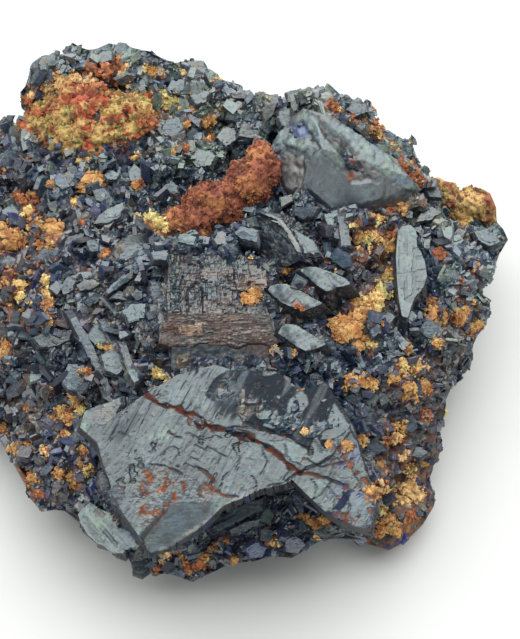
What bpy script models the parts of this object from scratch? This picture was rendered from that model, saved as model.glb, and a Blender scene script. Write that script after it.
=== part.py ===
"""Azurite specimen: large tabular azurite crystals set in a crust of small ones, with lumps of limonite showing
through, on a matrix base that is sawn flat.

Lengths in the tables are in millimetres, and MM turns them into Blender's metres. +X is to the right, +Y to the
back and +Z up. The sawn face lies on Z = 0. Directions are given as an azimuth (0 is +X, 90 is +Y) and a tilt from
vertical (0 faces up, 90 faces sideways, 180 faces down), both in degrees.
"""

import math
import random

import bmesh
import bpy
from mathutils import Matrix, Vector, noise

MM = 0.001
SEAT_GAP = 0.4  # room left between a solid and the one that it sits in
CRUST_FLOOR = 2.6  # the azurite crust ends this far above the sawn face

# Lumps: centre x, y, z and radii x, y, z.
CRUST_LUMPS = [
    (2, -9, 10, 29, 26, 19.3),  # the dome under the large crystals
    (-20, 0, 9, 20, 22, 13.5),  # left shoulder
    (-18, 22, 11.5, 17, 13, 10.5),  # back left shoulder
    (13, 9, 13, 16, 15, 16),  # back right, under the block crystal
    (25.5, 1, 12, 10.5, 12.5, 12.5),  # right shoulder
    (-18, -23, 9, 12, 11.5, 9.5),  # front left
    (-2, -30, 9, 19, 9.5, 8),  # front wall
    (-10, -33.5, 16, 7.5, 7, 7.5),  # under the slab crystal's left leg
    (13.5, -31, 15.5, 6.5, 7, 7.5),  # under its right leg
    # Knobs round the rim, clockwise from the back left.
    (-28.5, 34.5, 17, 4.8, 4.5, 5.5),
    (-22, 38.3, 17.5, 4.8, 4.2, 5.5),
    (-14.5, 37.8, 17, 5, 4.2, 6),
    (-4.5, 34, 14.5, 5, 4.5, 6.5),
    (4.5, 28.5, 15.5, 6, 4.5, 6),
    (14, 24.3, 21, 7, 4.5, 7.2),
    (21, 19.5, 18.5, 5.5, 4.5, 6),
    (26.5, 14.5, 16.5, 4.5, 4, 5.5),
    (35, 8.5, 12.5, 4.2, 5, 4.5),
    (32.5, -3, 10.5, 4, 5, 5),
    (28.5, -8.5, 9.5, 4.5, 4, 5),
    (4, -36, 8, 8, 4, 4),
    (-7, -38, 7, 5, 3.5, 4),
    (-19, -32.5, 8.5, 4.5, 4, 5),
    (-26.5, -24, 8.5, 4.5, 4.5, 4.5),
    (-34.5, -13, 9, 4.5, 6, 5),
    (-36.5, 1, 10, 4, 7, 6),
    (-36, 13, 10.5, 4.5, 7, 6.5),
    (-33.5, 25, 11, 4, 6, 5),
]
BASE_LUMPS = [
    (-1, -4, 2, 26, 23, 8.5),
    (-12, 14, 2, 17, 14, 7),
    (12, 12, 2, 14, 12, 7),
    (22.5, -28, 3, 6, 7.5, 5),  # the lobe that shows at the front right
    (23.5, -18.5, 6.5, 6, 7.5, 7),
]
BACK_LUMPS = [
    (-21.5, 28, 17.5, 7.5, 5.5, 6.5),
    (-28, 27.5, 16, 4.5, 5, 5),
    (-15.5, 26.5, 18.5, 5, 5, 6),
    (-21, 23.5, 18, 6.5, 4, 5.5),
    (-24, 32, 17, 4.5, 3.5, 5.5),
]
RIDGE_LUMPS = [
    (-6.5, 4.5, 25, 3.8, 3, 4.5),
    (-3, 8, 26, 4.2, 3.6, 4.8),
    (1.5, 10.5, 26.5, 4, 3.6, 5),
    (4.5, 13.5, 27, 3.2, 3, 4.6),
]
RIM_LUMPS = [
    (35, 15.5, 13, 4.6, 3.6, 4.2),
    (30, 16, 14.5, 4, 3, 4),
]
HOLLOW_LUMPS = [  # cut out under the slab crystal
    (5, -38, 17.5, 8, 8, 4.4),
    (-2, -38.5, 16, 6, 5.5, 2.6),
]
ROUND_LUMP_VOXEL = 1.3
ROUGHNESS = 0.9  # how far a lump's surface strays from round
ROUGHNESS_SIZE = 5.0

# The block crystal: its centre, then its flat faces as (azimuth, tilt, distance from the centre).
BLOCK_CENTRE = (13, 10, 28)
BLOCK_FACES = [
    (-82, 44, 2.6),  # the broad front face
    (-140, 46, 3.7),  # the rough face at the left front
    (-148, 37, 4.5),  # the top left
    (-22, 20, 4.9),  # the bright band along the right
    (56, 77, 6.3),
    (122, 70, 10.3),
    (136, 86, 9.6),
    (-154, 83, 5.4),
    (-114, 81, 3.0),
    (-80, 75, 3.6),
    (0, 180, 8),
]

# Table crystals have one broad flat face. Each row: name, middle of the face, where it faces (azimuth, tilt), the
# face's outline on its own plane (x to the right, y up the slope), depth, and how much wider it is at its foot.
SLAB = (
    "slab_crystal",
    (0.3, -31.8, 27.4),
    (-90, 16),
    [
        (-18.1, 1.7),
        (-16.1, -4.6),
        (-13.0, -9.9),
        (-11.0, -12.6),
        (-8.8, -12.1),
        (-4.5, -9.5),
        (-1.3, -6.6),
        (2.4, -5.0),
        (7.5, -3.4),
        (9.8, -5.6),
        (14.0, -8.9),
        (17.6, -9.9),
        (18.3, -6.0),
        (17.2, -2.0),
        (15.4, 4.0),
        (11.9, 9.8),
        (8.8, 8.8),
        (5.3, 11.2),
        (-2.7, 12.0),
        (-7.7, 10.7),
        (-15.6, 5.6),
        (-17.8, 6.8),
        (-20.4, 4.4),
    ],
    4.2,
    1.03,
)
# The slab's upper sheet stands this far over the rest and ends along a jagged line.
SLAB_SHEET_RISE = 0.5
SLAB_SHEET = [
    (-11.8, 8.0),
    (-9.3, 6.7),
    (-5.3, 4.9),
    (-0.9, 3.1),
    (3.5, 2.5),
    (10.6, 2.0),
    (14.6, 4.1),
    (11.7, 9.0),
    (8.8, 8.0),
    (5.2, 10.3),
    (-2.6, 11.2),
    (-7.4, 9.9),
]
# Its lower end is bevelled from this far down the slope, at this angle.
SLAB_BEVEL_START = -6.2
SLAB_BEVEL_ANGLE = 20

POINTED = (
    "pointed_crystal",
    (5.8, -0.8, 30.6),
    (-135, 38),
    [(-2.3, 4.2), (0.1, 3.2), (3.3, -2.7), (-0.1, -3.4), (-3.0, -1.8)],
    4.5,
    1.25,
)
WEDGES = [
    (
        "wedge_pair",
        (12.4, -7.0, 31.2),
        (-70, 12),
        [(-3.1, 1.3), (-0.7, 1.7), (3.3, -0.5), (2.2, -1.1), (0, -1.6), (-1.5, -0.9)],
        5,
        1.6,
    ),
    (
        "wedge_middle",
        (8.6, -9.8, 31.0),
        (-75, 13),
        [(-3.7, 1.3), (-1.4, 1.8), (0.5, 1.3), (3.5, -0.8), (1.9, -1.7), (-2.2, -1.0)],
        5,
        1.6,
    ),
]
FRONT_WEDGE = (
    "front_wedge",
    (9.5, -15.6, 30.0),
    (-80, 14),
    [(-3.4, 0.9), (-2.4, 1.8), (-0.3, 1.7), (3.5, -0.9), (1.9, -1.6), (-0.5, -1.7)],
    5,
    1.6,
)
BLADE = (
    "blade_crystal",
    (23.6, -2.7, 27.4),
    (-80, 10),
    [(-0.3, 6.6), (1.2, 4.9), (1.1, -5.0), (-0.3, -6.6), (-1.2, -3.6), (-1.0, 4.6)],
    4.5,
    1.35,
)
CORNER = (
    "corner_crystal",
    (-16.7, -36.9, 15.0),
    (-110, 22),
    [(-4.3, 1.2), (-3.0, 3.5), (1.5, 1.3), (4.4, -2.2), (3.1, -3.6), (-1.4, -3.1)],
    4.5,
    1.05,
)

# The stepped crystal: sheets that end one behind the other at the front, like a stair.
STEPPED_CENTRE = (-2.5, -8.2, 32.0)
STEPPED_FACING = (-75, 9)
STEPPED_SHEET = ((-6.1, 7.0), (-4.6, 4.2))  # the top sheet from left to right, and from front to back
STEPPED_DEPTH = 6
STAIR_STEPS = 6
STAIR_RUN = 0.62
STAIR_RISE = 0.45
STAIR_WIDEN = (0.22, 0.36)  # how much further each sheet reaches on the left and on the right
# Blocks that stand on the sheets: centre x, y, then half width, half depth, foot and top.
STEPPED_BLOCKS = [
    (-5.45, -0.1, 0.5, 4.2, -2, 0.5),
    (-0.9, 2.9, 4.2, 0.4, -2, 0.4),
    (-1.6, -1.1, 2.2, 1.6, -2, 0.35),
    (3.8, -1.9, 1.8, 1.9, -2, 0.3),
    (-7.0, 5.2, 1.2, 1.4, -5, 0.3),
    (-4.0, 5.5, 1.3, 1.5, -5, 0.9),
    (-1.35, 5.4, 1.0, 1.3, -5, 0.5),
    (1.5, 5.6, 1.4, 1.6, -5, 0.8),
    (3.6, 8.0, 1.2, 1.2, -5, 1.0),
    (0.9, -9.6, 6.6, 2.6, -5.7, -2.9),  # the smooth ledge in front of the stair
]

# The small crystals fused to the crust.
SMALL_CRYSTALS = 150
SMALL_LENGTH = (1.5, 3.1)  # half length, shortest and longest
SMALL_SPACING = 3.2
SMALL_SEED = 11
CLEAR_OF_LARGE = 1.2  # none is centred nearer than this to another solid

AZURITE = ("azurite", (0.055, 0.085, 0.14), 0.25)
AZURITE_DARK = ("azurite_dark", (0.022, 0.03, 0.07), 0.35)
LIMONITE_RED = ("limonite_red", (0.22, 0.06, 0.02), 0.85)
LIMONITE_TAN = ("limonite_tan", (0.34, 0.20, 0.08), 0.9)


def clear_scene():
    for old in list(bpy.data.objects):
        bpy.data.objects.remove(old)


def finish_for(name, colour, roughness):
    made = bpy.data.materials.get(name) or bpy.data.materials.new(name)
    made.use_nodes = True
    shader = made.node_tree.nodes["Principled BSDF"]
    shader.inputs["Base Color"].default_value = (*colour, 1)
    shader.inputs["Roughness"].default_value = roughness
    shader.inputs["Metallic"].default_value = 0
    return made


def new_object(name, mesh):
    made = bpy.data.objects.new(name, mesh)
    bpy.context.scene.collection.objects.link(made)
    return made


def object_from(name, bm):
    bmesh.ops.triangulate(bm, faces=bm.faces[:])
    bmesh.ops.recalc_face_normals(bm, faces=bm.faces[:])
    mesh = bpy.data.meshes.new(name)
    bm.to_mesh(mesh)
    bm.free()
    return new_object(name, mesh)


def apply_modifiers(obj):
    graph = bpy.context.evaluated_depsgraph_get()
    graph.update()
    mesh = bpy.data.meshes.new_from_object(obj.evaluated_get(graph))
    obj.modifiers.clear()
    obj.data = mesh


def direction(azimuth, tilt):
    a, t = math.radians(azimuth), math.radians(tilt)
    return Vector((math.sin(t) * math.cos(a), math.sin(t) * math.sin(a), math.cos(t)))


def lump_solid(name, lumps, triangles, roughness=ROUGHNESS, voxel=ROUND_LUMP_VOXEL):
    """One closed body from overlapping ellipsoids, its surface made uneven, with about that many triangles."""
    bm = bmesh.new()
    for x, y, z, rx, ry, rz in lumps:
        place = Matrix.LocRotScale(
            Vector((x, y, z)) * MM, None, Vector((rx, ry, rz)) * MM
        )
        bmesh.ops.create_icosphere(bm, subdivisions=3, radius=1, matrix=place)
    obj = object_from(name, bm)
    remesh = obj.modifiers.new("fuse", "REMESH")
    remesh.mode = "VOXEL"
    remesh.voxel_size = voxel * MM
    apply_modifiers(obj)
    roughen(obj, roughness)
    decimate = obj.modifiers.new("thin_out", "DECIMATE")
    decimate.ratio = triangles / (2 * len(obj.data.polygons))
    apply_modifiers(obj)
    return obj


def roughen(obj, amount):
    mesh = obj.data
    for vertex, normal in zip(mesh.vertices, [v.normal.copy() for v in mesh.vertices]):
        spot = vertex.co / (ROUGHNESS_SIZE * MM)
        broad = noise.noise(spot)
        fine = noise.noise(spot * 2.3 + Vector((7, 3, 5)))
        vertex.co += normal * (amount * MM) * (broad + 0.6 * fine)


def cut_below(obj, height):
    """Takes away what is under a level plane and closes the cut."""
    bm = bmesh.new()
    bm.from_mesh(obj.data)
    slice_off(bm, Vector((0, 0, height * MM)), Vector((0, 0, -1)))
    bmesh.ops.triangulate(bm, faces=bm.faces[:])
    bm.to_mesh(obj.data)
    bm.free()


def slice_off(bm, point, outward):
    cut = bmesh.ops.bisect_plane(
        bm,
        geom=bm.verts[:] + bm.edges[:] + bm.faces[:],
        dist=1e-7,
        plane_co=point,
        plane_no=outward,
        clear_outer=True,
    )
    rim = [e for e in cut["geom_cut"] if isinstance(e, bmesh.types.BMEdge)]
    if rim:
        bmesh.ops.holes_fill(bm, edges=rim, sides=0)


def faced_crystal(name, centre, faces):
    """A crystal as the room left inside its flat faces."""
    bm = bmesh.new()
    bmesh.ops.create_cube(bm, size=60 * MM)
    for azimuth, tilt, distance in faces:
        outward = direction(azimuth, tilt)
        slice_off(bm, outward * distance * MM, outward)
    bmesh.ops.translate(bm, verts=bm.verts, vec=Vector(centre) * MM)
    return object_from(name, bm)


def table_solid(name, outline, top, depth, widen):
    """A flat plate under its outline. The foot is the outline made wider, so that the sides are flat and lean out."""
    bm = bmesh.new()
    count = len(outline)
    middle = Vector((sum(x for x, _ in outline), sum(y for _, y in outline))) / count
    rings = []
    for z, scale in ((top, 1), (top - depth, widen)):
        ring = []
        for x, y in outline:
            spot = middle + (Vector((x, y)) - middle) * scale
            ring.append(bm.verts.new(Vector((*spot, z)) * MM))
        rings.append(ring)
    bm.faces.new(rings[0])
    bm.faces.new(rings[1][::-1])
    for i in range(count):
        j = (i + 1) % count
        bm.faces.new((rings[0][j], rings[0][i], rings[1][i], rings[1][j]))
    return object_from(name, bm)


def table_crystal(name, centre, facing, outline, depth, widen):
    crystal = table_solid(name, outline, 0, depth, widen)
    place(crystal, centre, facing)
    return crystal


def slab_crystal():
    name, centre, facing, outline, depth, widen = SLAB
    slab = table_solid(name, outline, 0, depth, widen)
    angle = math.radians(SLAB_BEVEL_ANGLE)
    bm = bmesh.new()
    bm.from_mesh(slab.data)
    start = Vector((0, SLAB_BEVEL_START * MM, 0))
    slice_off(bm, start, Vector((0, -math.sin(angle), math.cos(angle))))
    slab.data.clear_geometry()
    bmesh.ops.triangulate(bm, faces=bm.faces[:])
    bm.to_mesh(slab.data)
    bm.free()
    fuse(slab, table_solid("sheet", SLAB_SHEET, SLAB_SHEET_RISE, 2.5, 1.02))
    place(slab, centre, facing)
    return slab


def wedge_pair():
    """Two wedges that have grown together, each with a flat top that is pointed at both ends."""
    joined = table_crystal(*WEDGES[0])
    for wedge in WEDGES[1:]:
        fuse(joined, table_crystal(*wedge))
    return joined


def block(left, right, front, back, foot, top):
    bm = bmesh.new()
    middle = Vector(((left + right) / 2, (front + back) / 2, (foot + top) / 2)) * MM
    size = Vector((right - left, back - front, top - foot)) * MM
    box = Matrix.LocRotScale(middle, None, size)
    bmesh.ops.create_cube(bm, size=1, matrix=box)
    return object_from("block", bm)


def stepped_crystal():
    (left, right), (front, back) = STEPPED_SHEET
    crystal = block(left, right, front, back, -STEPPED_DEPTH, 0)
    crystal.name = "stepped_crystal"
    for step in range(1, STAIR_STEPS):
        sheet = block(
            left - step * STAIR_WIDEN[0],
            right + step * STAIR_WIDEN[1],
            front - step * STAIR_RUN,
            back + step * 0.1,
            -STEPPED_DEPTH - step * 0.1,
            -step * STAIR_RISE,
        )
        fuse(crystal, sheet)
    for x, y, half_w, half_d, foot, top in STEPPED_BLOCKS:
        fuse(crystal, block(x - half_w, x + half_w, y - half_d, y + half_d, foot, top))
    place(crystal, STEPPED_CENTRE, STEPPED_FACING)
    return crystal


def place(obj, centre, facing):
    """Turns a crystal that faces up so that it faces the given way, by the shortest turn, and moves it there."""
    turn = Vector((0, 0, 1)).rotation_difference(direction(*facing))
    obj.data.transform(Matrix.Translation(Vector(centre) * MM) @ turn.to_matrix().to_4x4())


def combine(obj, other, operation):
    boolean = obj.modifiers.new(operation, "BOOLEAN")
    boolean.operation = operation
    boolean.object = other
    boolean.use_self = operation == "UNION"
    apply_modifiers(obj)


def fuse(obj, other):
    """Joins other to obj in one body."""
    combine(obj, other, "UNION")
    bpy.data.objects.remove(other)


def seat(obj, other, hull=True):
    """Cuts a socket for other in obj, with room all round. The socket is convex unless hull is false."""
    cutter = new_object("cutter", other.data.copy())
    if hull:
        wrap_in_hull(cutter.data)
    swell(cutter.data, SEAT_GAP)
    combine(obj, cutter, "DIFFERENCE")
    bpy.data.objects.remove(cutter)


def wrap_in_hull(mesh):
    bm = bmesh.new()
    bm.from_mesh(mesh)
    bmesh.ops.delete(bm, geom=bm.faces[:], context="FACES_ONLY")
    bmesh.ops.delete(bm, geom=bm.edges[:], context="EDGES_FACES")
    result = bmesh.ops.convex_hull(bm, input=bm.verts[:])
    inside = [v for v in result["geom_interior"] if isinstance(v, bmesh.types.BMVert)]
    bmesh.ops.delete(bm, geom=inside, context="VERTS")
    bmesh.ops.dissolve_limit(
        bm, angle_limit=math.radians(1), verts=bm.verts[:], edges=bm.edges[:]
    )
    bmesh.ops.triangulate(bm, faces=bm.faces[:])
    bmesh.ops.recalc_face_normals(bm, faces=bm.faces[:])
    bm.to_mesh(mesh)
    bm.free()


def separate(crystals):
    """Where large crystals meet, the later one in the list keeps its shape and the earlier one makes room."""
    for place_in_list, crystal in enumerate(crystals):
        for other in crystals[place_in_list + 1 :]:
            if boxes_meet(crystal, other):
                seat(crystal, other)
                keep_largest_piece(crystal)


def boxes_meet(one, other):
    gap = SEAT_GAP * MM
    for axis in range(3):
        mine = [v.co[axis] for v in one.data.vertices]
        theirs = [v.co[axis] for v in other.data.vertices]
        if min(mine) > max(theirs) + gap or min(theirs) > max(mine) + gap:
            return False
    return True


def swell(mesh, distance):
    """Moves each face out by at least distance, so that a corner goes further than the flat beside it."""
    bm = bmesh.new()
    bm.from_mesh(mesh)
    bm.normal_update()
    moves = []
    for vertex in bm.verts:
        outward = vertex.normal
        least = min(outward.dot(face.normal) for face in vertex.link_faces)
        moves.append(outward * (distance * MM / max(least, 0.35)))
    for vertex, move in zip(bm.verts, moves):
        vertex.co += move
    bm.to_mesh(mesh)
    bm.free()


def keep_largest_piece(obj):
    """Drops the crumbs that a cut leaves loose."""
    bm = bmesh.new()
    bm.from_mesh(obj.data)
    unseen = set(bm.verts)
    pieces = []
    while unseen:
        todo = [unseen.pop()]
        piece = []
        while todo:
            vertex = todo.pop()
            piece.append(vertex)
            for edge in vertex.link_edges:
                other = edge.other_vert(vertex)
                if other in unseen:
                    unseen.remove(other)
                    todo.append(other)
        pieces.append(piece)
    pieces.sort(key=len)
    for crumb in pieces[:-1]:
        bmesh.ops.delete(bm, geom=crumb, context="VERTS")
    bm.to_mesh(obj.data)
    bm.free()


def small_crystal(bm, spot, outward, rng):
    """Adds one tabular crystal with a chisel end that stands out of the crust at spot."""
    half = rng.uniform(*SMALL_LENGTH)
    width = half * rng.uniform(0.45, 0.8)
    thick = half * rng.uniform(0.25, 0.45)
    shoulder = half * rng.uniform(0.2, 0.6)
    outline = [
        (-half, -width),
        (-half, width),
        (shoulder, width),
        (half, width * rng.uniform(-0.6, 0.6)),
        (shoulder, -width),
    ]
    lean = Vector([rng.gauss(0, 0.6) for _ in range(3)])
    along = (outward + lean).normalized()
    turn = along.to_track_quat("X", "Z").to_matrix().to_4x4()
    turn = turn @ Matrix.Rotation(rng.uniform(0, math.pi), 4, "X")
    move = Matrix.Translation(spot + outward * half * 0.25 * MM) @ turn
    rings = [
        [bm.verts.new(move @ (Vector((x * s, y * s, z)) * MM)) for x, y in outline]
        for z, s in ((thick, 0.85), (-thick, 1.0))
    ]
    bm.faces.new(rings[0])
    bm.faces.new(rings[1][::-1])
    for i in range(5):
        j = (i + 1) % 5
        bm.faces.new((rings[0][j], rings[0][i], rings[1][i], rings[1][j]))


def crust_spots(crust, others, rng):
    """Places for the small crystals: spread over the crust's sides and top, away from the other solids."""
    mesh = crust.data
    mesh.calc_loop_triangles()
    faces = [t for t in mesh.loop_triangles if t.normal.z > -0.35]
    corners = [[mesh.vertices[v].co for v in t.vertices] for t in faces]
    areas = [t.area for t in faces]
    spots = []
    tries = 0
    while len(spots) < SMALL_CRYSTALS and tries < 40 * SMALL_CRYSTALS:
        tries += 1
        chosen = rng.choices(range(len(faces)), areas)[0]
        a, b, c = corners[chosen]
        u, v = sorted((rng.random(), rng.random()))
        spot = a * u + b * (v - u) + c * (1 - v)
        crowded = any((spot - s).length < SMALL_SPACING * MM for s, _ in spots)
        if crowded or spot.z < (CRUST_FLOOR + 3) * MM or near_any(spot, others):
            continue
        spots.append((spot, faces[chosen].normal.copy()))
    return spots


def near_any(spot, others):
    for other in others:
        found, nearest, _, _ = other.closest_point_on_mesh(
            spot, distance=CLEAR_OF_LARGE * MM
        )
        if found and (nearest - spot).length < CLEAR_OF_LARGE * MM:
            return True
    return False


def small_crystals(crust, others):
    rng = random.Random(SMALL_SEED)
    bm = bmesh.new()
    for spot, outward in crust_spots(crust, others, rng):
        small_crystal(bm, spot, outward, rng)
    return object_from("small_crystals", bm)


def centre_on_base(objects):
    """Moves the whole object so that the origin is under the middle of its box."""
    corners = [v.co for obj in objects for v in obj.data.vertices]
    middle = [
        (min(c[axis] for c in corners) + max(c[axis] for c in corners)) / 2
        for axis in (0, 1)
    ]
    for obj in objects:
        obj.data.transform(Matrix.Translation((-middle[0], -middle[1], 0)))
    print("moved by mm:", [round(-m / MM, 2) for m in middle])


def coat(objects, finish):
    for obj in objects:
        obj.data.materials.clear()
        obj.data.materials.append(finish)


def main():
    clear_scene()
    base = lump_solid("matrix_base", BASE_LUMPS, 650)
    cut_below(base, 0)
    patches = [
        lump_solid("limonite_back", BACK_LUMPS, 380, voxel=0.9),
        lump_solid("limonite_ridge", RIDGE_LUMPS, 300, voxel=0.7),
        lump_solid("limonite_rim", RIM_LUMPS, 220, voxel=0.7),
    ]
    large = [
        slab_crystal(),
        faced_crystal("block_crystal", BLOCK_CENTRE, BLOCK_FACES),
        stepped_crystal(),
        table_crystal(*POINTED),
        wedge_pair(),
        table_crystal(*FRONT_WEDGE),
        table_crystal(*BLADE),
        table_crystal(*CORNER),
    ]
    separate([*patches, *large])

    crust = lump_solid("azurite_crust", CRUST_LUMPS, 1000)
    fuse(crust, small_crystals(crust, [base, *patches, *large]))
    hollow = lump_solid("hollow", HOLLOW_LUMPS, 160, voxel=0.9)
    combine(crust, hollow, "DIFFERENCE")
    bpy.data.objects.remove(hollow)
    cut_below(crust, CRUST_FLOOR)
    seat(crust, base, hull=False)
    for other in (*patches, *large):
        seat(crust, other)
    keep_largest_piece(crust)

    coat(large, finish_for(*AZURITE))
    coat([crust], finish_for(*AZURITE_DARK))
    coat([base, patches[0], patches[2]], finish_for(*LIMONITE_TAN))
    coat([patches[1]], finish_for(*LIMONITE_RED))
    centre_on_base([base, crust, *patches, *large])


main()
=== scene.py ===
"""The azurite specimen's fine surface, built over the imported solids. Lengths are in millimetres until MM
turns them into metres. +X is to the right, +Y to the back, +Z up, and the sawn face lies on Z = 0."""

import itertools
import math

import bmesh
import bpy
import numpy as np
from mathutils import Matrix, Vector
from mathutils.bvhtree import BVHTree


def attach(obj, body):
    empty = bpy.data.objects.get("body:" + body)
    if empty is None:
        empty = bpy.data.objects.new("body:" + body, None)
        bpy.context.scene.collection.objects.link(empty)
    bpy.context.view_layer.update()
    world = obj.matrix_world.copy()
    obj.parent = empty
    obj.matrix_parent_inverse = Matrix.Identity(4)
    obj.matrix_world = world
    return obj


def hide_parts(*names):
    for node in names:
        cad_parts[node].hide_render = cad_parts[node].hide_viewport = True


MM = 0.001
PX = 0.14  # millimetres to a pixel of the photo's frame, at the point the camera looks at
PICTURE_WIDTH, PICTURE_HEIGHT = 520, 639  # pixels
MIDDLE_X, MIDDLE_Y = PICTURE_WIDTH / 2, PICTURE_HEIGHT / 2
SENSOR_WIDTH = 36
SHIFT = np.array([1.16, -0.26, 0.0])  # from the design's own middle to the middle of the object's box
LOOK_AT = np.array([3.6, -7.0, 20.0]) + SHIFT
CAMERA_ELEVATION = 60
CAMERA_DISTANCE = 300

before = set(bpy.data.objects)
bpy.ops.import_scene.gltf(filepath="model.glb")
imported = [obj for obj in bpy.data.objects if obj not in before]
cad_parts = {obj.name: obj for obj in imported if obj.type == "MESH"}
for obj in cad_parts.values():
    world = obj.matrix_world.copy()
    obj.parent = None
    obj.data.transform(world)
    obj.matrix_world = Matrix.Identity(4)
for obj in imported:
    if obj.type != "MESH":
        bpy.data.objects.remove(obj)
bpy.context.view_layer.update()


# ---------------------------------------------------------------- camera

elevation = math.radians(CAMERA_ELEVATION)
TO_CAMERA = np.array([0, -math.cos(elevation), math.sin(elevation)])
IMAGE_UP = np.array([0, math.sin(elevation), math.cos(elevation)])
RIGHT = np.array([1.0, 0, 0])
EYE = LOOK_AT + TO_CAMERA * CAMERA_DISTANCE

camera_data = bpy.data.cameras.new("camera")
camera = bpy.data.objects.new("camera", camera_data)
bpy.context.scene.collection.objects.link(camera)
bpy.context.scene.camera = camera
camera.location = EYE * MM
camera.rotation_euler = (math.pi / 2 - elevation, 0, 0)
camera_data.sensor_width = SENSOR_WIDTH
camera_data.lens = SENSOR_WIDTH * CAMERA_DISTANCE / (PICTURE_HEIGHT * PX)
camera_data.clip_start = 0.01
camera_data.clip_end = 20


def ray_through(px, py):
    """The camera's way to a pixel."""
    way = -TO_CAMERA * CAMERA_DISTANCE + IMAGE_UP * (MIDDLE_Y - py) * PX
    way = way + RIGHT * (px - MIDDLE_X) * PX
    return way / np.linalg.norm(way)


# ---------------------------------------------------------------- tables, read from plain text


def table(text):
    """Rows of numbers parted by commas: mostly corners, as pixel x and y."""
    return [tuple(map(float, row.split())) for row in text.split(",")]


def outlined(text):
    """Rows of numbers, a colon and an outline, one to a line. A line that ends with a comma runs on."""
    lines = text.replace(",\n", ", ").strip().splitlines()
    parts = [line.split(":") for line in lines if not line.startswith("#")]
    return [(*map(float, numbers.split()), table(corners)) for numbers, corners in parts]


# ---------------------------------------------------------------- noise, on arrays of points


def hashed(ix, iy, iz, seed):
    """A number from 0 to 1 that depends only on these whole numbers."""
    h = (ix * 374761393 + iy * 668265263 + iz * 1440662683 + seed * 1274126177) & 0xFFFFFFFF
    h = ((h ^ (h >> 13)) * 1274126177) & 0xFFFFFFFF
    return ((h ^ (h >> 16)) & 0xFFFF) / 65535.0


def soft_noise(points, size, seed=0):
    """Smooth noise from -1 to 1 with features of that size."""
    p = np.asarray(points) / size
    cell = np.floor(p).astype(np.int64)
    f = p - cell
    f = f * f * (3 - 2 * f)
    total = 0
    for corner in itertools.product((0, 1), repeat=3):
        x, y, z = np.abs(1 - np.array(corner) - f).T
        total = total + x * y * z * hashed(*(cell + np.array(corner)).T, seed)
    return total * 2 - 1


def fractal(points, size, octaves=4, seed=0, gain=0.5):
    """Layers of soft noise, each finer and weaker than the one before."""
    total = 0
    scale = 1.0
    for octave in range(octaves):
        total = total + scale * soft_noise(points, size / 2.03**octave, seed + 17 * octave)
        scale *= gain
    return total


def cells(points, size, seed):
    """The nearest seed of a jittered lattice: its three whole numbers and the way from it."""
    grid = points / size
    base = np.floor(grid).astype(np.int64)
    best = np.full(len(points), np.inf)
    cell, offset = base.copy(), np.zeros_like(points)
    for step in itertools.product((-1, 0, 1), repeat=3):
        there = base + np.array(step)
        away = grid - (there + np.stack([hashed(*there.T, seed + k) for k in range(3)], 1))
        distance = np.linalg.norm(away, axis=1)
        closer = distance < best
        best = np.where(closer, distance, best)
        cell[closer], offset[closer] = there[closer], away[closer]
    return cell, offset * size


def facets(points, size, seed, slope):
    """Heights of a broken surface of flat crystal faces, with a number from 0 to 1 for each face."""
    cell, offset = cells(points, size, seed)
    number = [hashed(*cell.T, seed + 10 + k) for k in range(5)]
    way = np.stack(number[:3], 1) - 0.5
    way /= np.linalg.norm(way, axis=1, keepdims=True) + 1e-6
    height = slope * (offset * way).sum(1) + 0.3 * size * (number[3] - 0.5)
    return height, number[4]


def smoothstep(low, high, x):
    t = np.clip((x - low) / (high - low), 0, 1)
    return t * t * (3 - 2 * t)


# ---------------------------------------------------------------- meshes


def linked(name, data):
    """A new object in the scene."""
    made = bpy.data.objects.new(name, data)
    bpy.context.scene.collection.objects.link(made)
    return made


def shade(obj, smooth):
    obj.data.polygons.foreach_set("use_smooth", np.full(len(obj.data.polygons), smooth))


def mesh_from(name, verts, loops, sizes):
    """A mesh from its points, the corners of all its faces in one row, and how many corners each face has."""
    mesh = bpy.data.meshes.new(name)
    mesh.vertices.add(len(verts))
    mesh.vertices.foreach_set("co", (np.asarray(verts) * MM).astype(np.float32).ravel())
    mesh.loops.add(len(loops))
    mesh.loops.foreach_set("vertex_index", np.asarray(loops, np.int32))
    mesh.polygons.add(len(sizes))
    starts = np.concatenate([[0], np.cumsum(sizes)[:-1]]).astype(np.int32)
    mesh.polygons.foreach_set("loop_start", starts)
    mesh.update(calc_edges=True)
    mesh.validate()
    made = linked(name, mesh)
    shade(made, False)
    return made


def points_of(obj):
    flat = np.empty(len(obj.data.vertices) * 3, np.float32)
    obj.data.vertices.foreach_get("co", flat)
    return flat.reshape(-1, 3).astype(float) / MM


def normals_of(obj):
    flat = np.empty(len(obj.data.vertices) * 3, np.float32)
    obj.data.vertex_normals.foreach_get("vector", flat)
    return flat.reshape(-1, 3).astype(float)


def set_points(obj, points):
    obj.data.vertices.foreach_set("co", (points * MM).astype(np.float32).ravel())
    obj.data.update()


def paint(obj, name, values):
    """Keeps a number per vertex for the material."""
    attribute = obj.data.attributes.new(name, "FLOAT", "POINT")
    attribute.data.foreach_set("value", np.asarray(values, np.float32))


def remeshed(name, sources, voxel):
    """One new object: the voxel remesh of copies of the CAD nodes named."""
    bm = bmesh.new()
    for source in sources:
        bm.from_mesh(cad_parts[source].data)
    mesh = bpy.data.meshes.new(name)
    bm.to_mesh(mesh)
    bm.free()
    made = linked(name, mesh)
    modifier = made.modifiers.new("remesh", "REMESH")
    modifier.mode = "VOXEL"
    modifier.voxel_size = voxel * MM
    graph = bpy.context.evaluated_depsgraph_get()
    graph.update()
    made.data = bpy.data.meshes.new_from_object(made.evaluated_get(graph))
    made.modifiers.clear()
    made.data.materials.clear()
    shade(made, True)
    return made


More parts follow.
